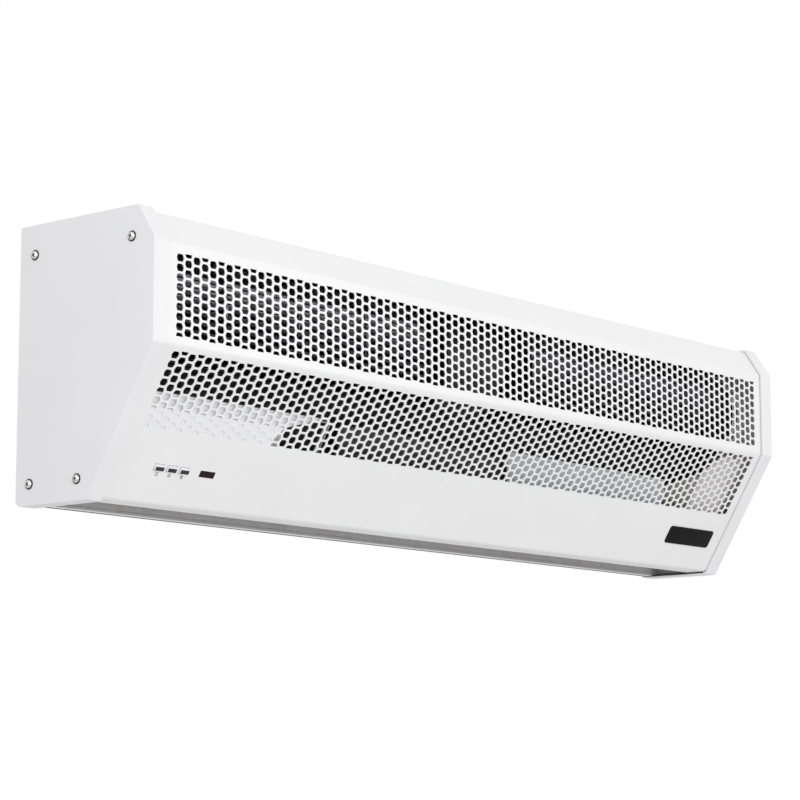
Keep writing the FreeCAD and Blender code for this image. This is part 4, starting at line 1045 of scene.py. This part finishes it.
def blade_outline(lean):
    """Section of a blade that sweeps round as it nears the rim, at an angle round the fan's axis."""
    near_side = []
    far_side = []
    for step in range(BLADE_STEPS + 1):
        share = step / BLADE_STEPS
        radius = BLADE_INNER + (BLADE_OUTER - BLADE_INNER) * share
        angle = lean - BLADE_SWEEP * share**BLADE_BEND
        near_side.append(round_axis(radius, angle))
        far_side.append(round_axis(radius, angle + BLADE_WALL / radius))
    return near_side + far_side[::-1]


def impeller(name, side):
    """A cross-flow impeller: curved blades held by rings, plates and hubs, and a pale end collar."""
    mesh = bmesh.new()
    inner = side * IMPELLER_INNER
    outer = side * (IMPELLER_INNER + IMPELLER_LENGTH)
    for blade in range(BLADES):
        outline = blade_outline(2 * math.pi * blade / BLADES)
        loft(mesh, [[Vector((x, *point)) for point in outline] for x in (inner, outer)])
    for ring in range(RINGS):
        x = inner + side * RING_WALL / 2 + (outer - inner - side * RING_WALL) * ring / (RINGS - 1)
        at_end = ring in (0, RINGS - 1)
        disc(mesh, x, HUB_BORE if at_end else RING_INNER, IMPELLER_RADIUS, RING_WALL)
    for end, way in ((inner, side), (outer, -side)):
        disc(mesh, end + way * HUB_LENGTH / 2, HUB_BORE, HUB_RADIUS, HUB_LENGTH)
    bmesh.ops.remove_doubles(mesh, verts=mesh.verts, dist=MERGE)
    tidy_normals(mesh)
    wheel = piece(name + "_wheel", mesh, "blade_metal", "fan_rotor", name)
    smooth(wheel, ROUND_CRISP)
    mesh = bmesh.new()
    disc(mesh, outer - side * COLLAR_WIDTH / 2, COLLAR_INNER, COLLAR_OUTER, COLLAR_WIDTH)
    bmesh.ops.remove_doubles(mesh, verts=mesh.verts, dist=MERGE)
    tidy_normals(mesh)
    collar = piece(name + "_collar", mesh, "zinc_sheet", "fan_rotor", name)
    smooth(collar, ROUND_CRISP)


def end_dish(name, side):
    """The pressed dish on a bearing mount, its rim in line with the impeller's end."""
    mesh = bmesh.new()
    rim = DISH_END - DISH_START
    floor_place = side * (DISH_END - DISH_SHEET / 2)
    floor_radius = IMPELLER_RADIUS - DISH_SHEET / 2
    disc(mesh, side * (DISH_START + rim / 2), IMPELLER_RADIUS - DISH_SHEET, IMPELLER_RADIUS, rim)
    disc(mesh, floor_place, DISH_HOLE, floor_radius, DISH_SHEET)
    bmesh.ops.remove_doubles(mesh, verts=mesh.verts, dist=MERGE)
    tidy_normals(mesh)
    dish = piece(name, mesh, "cap_plastic", "casing")
    smooth(dish, ROUND_CRISP)


# All the pieces
front_cover()
end_cap("left_end_cap", -1)
end_cap("right_end_cap", 1)
cap_shade_bead("left_cap_bead", -1)
cap_shade_bead("right_cap_bead", 1)
screw = screw_mesh()
screw_shade = screw_shade_mesh()
cap_places = []
for side in (-1, 1):
    for index, (y, z) in enumerate(CAP_SCREWS):
        turn = CAP_SCREW_TURN + CAP_SCREW_TURN_STEP * index
        cap_places.append(((side * CAP_END, y, z), (side, 0, 0), turn, 1.0))
cover_places = []
for x in COVER_SCREW_PLACES:
    spot = (x, COVER_SCREW_DEPTH, COVER_TOP[1])
    turn = COVER_SCREW_TURN + COVER_SCREW_TURN_STEP * x
    cover_places.append((spot, (0, 0, 1), turn, COVER_SCREW_SCALE))
fasteners("cap_screws", screw, "screw_zinc", cap_places, "end_cap_screws")
# Dark rings and recess blocks painted as shade on the screws
fasteners("cap_seals", screw_shade, "soft_rubber", cap_places)
fasteners("cover_screws", screw, "screw_zinc", cover_places)
fasteners("cover_screw_shades", screw_shade, "soft_rubber", cover_places)
for name, place in zip(("power", "speed", "heat"), KEY_PLACES):
    key_cap(name, place, name + "_key", name + "_button")
    key_insert(name, place, name + "_key")
signs()
badge()
control_box()
terminal_box()
outlet()
impeller("left_impeller", -1)
impeller("right_impeller", 1)
end_dish("left_end_dish", -1)
end_dish("right_end_dish", 1)


# Floor, light and camera

FLOOR_DROP = -2.4
FLOOR_HALF = 30.0
FLOOR_DARK = (0.77, 0.77, 0.77)
FLOOR_LIGHT = (0.80, 0.80, 0.80)
FLOOR_ROUGHNESS = 0.8
FLOOR_CLOUD_SCALE = 1.5
AMBIENT = 0.755

# Each lamp's name, place, target, size in metres and power in watts
LAMPS = (
    ("key_lamp", (-1.3, -3.4, 0.4), (0, -0.1, 0), 2.2, 37.0),
    ("side_lamp", (-3.2, -0.8, 0.5), (0, -0.1, 0), 1.8, 13.5),
    ("right_lamp", (2.4, -3.0, 0.64), (0, -0.1, 0), 0.8, 15.0),
    ("low_lamp", (0.0, 0.3, -0.72), (-0.1, -0.05, 0), 0.9, 0.5),
)

CAMERA_PLACE = (-1.85933, -1.59847, -0.39432)
CAMERA_HEADING = (0.7553, 0.6373, 0.1531)
CAMERA_LENS = 117.409

floor_mesh = bmesh.new()
bmesh.ops.create_grid(floor_mesh, x_segments=1, y_segments=1, size=FLOOR_HALF)
floor_data = bpy.data.meshes.new("floor")
floor_mesh.to_mesh(floor_data)
floor_mesh.free()
floor = bpy.data.objects.new("floor", floor_data)
floor.location.z = FLOOR_DROP
bpy.context.scene.collection.objects.link(floor)
floor_finish = new_material("floor", Roughness=FLOOR_ROUGHNESS)
floor_clouds = noise(floor_finish, place_of(floor_finish), FLOOR_CLOUD_SCALE)
shade(floor_finish, floor_clouds, FLOOR_DARK, FLOOR_LIGHT, *CLOUD_LIMITS)
floor_data.materials.append(floor_finish)

# The world is plain white where it is seen, and dimmer as a light
world = bpy.data.worlds.new("studio")
bpy.context.scene.world = world
world.use_nodes = True
sky = world.node_tree
background = sky.nodes["Background"]
rays = sky.nodes.new("ShaderNodeLightPath")
seen = sky.nodes.new("ShaderNodeMath")
seen.operation = "MAXIMUM"
sky.links.new(rays.outputs["Is Camera Ray"], seen.inputs[0])
sky.links.new(rays.outputs["Is Glossy Ray"], seen.inputs[1])
through = sky.nodes.new("ShaderNodeMath")
through.operation = "MAXIMUM"
sky.links.new(seen.outputs[0], through.inputs[0])
sky.links.new(rays.outputs["Is Transmission Ray"], through.inputs[1])
level = sky.nodes.new("ShaderNodeMapRange")
level.inputs["To Min"].default_value = AMBIENT
level.inputs["To Max"].default_value = 1.0
sky.links.new(through.outputs[0], level.inputs["Value"])
background.inputs["Color"].default_value = (1, 1, 1, 1)
sky.links.new(level.outputs["Result"], background.inputs["Strength"])


def lamp(name, place, target, size, power):
    """A square softbox that faces a point."""
    data = bpy.data.lights.new(name, "AREA")
    data.size = size
    data.energy = power
    item = bpy.data.objects.new(name, data)
    item.location = place
    item.rotation_euler = (Vector(target) - Vector(place)).to_track_quat("-Z", "Y").to_euler()
    bpy.context.scene.collection.objects.link(item)


for values in LAMPS:
    lamp(*values)

camera = bpy.data.objects.new("camera", bpy.data.cameras.new("camera"))
camera.data.lens = CAMERA_LENS
camera.location = CAMERA_PLACE
camera.rotation_euler = Vector(CAMERA_HEADING).to_track_quat("-Z", "Y").to_euler()
bpy.context.scene.collection.objects.link(camera)
bpy.context.scene.camera = camera
bpy.context.scene.view_settings.view_transform = "Standard"
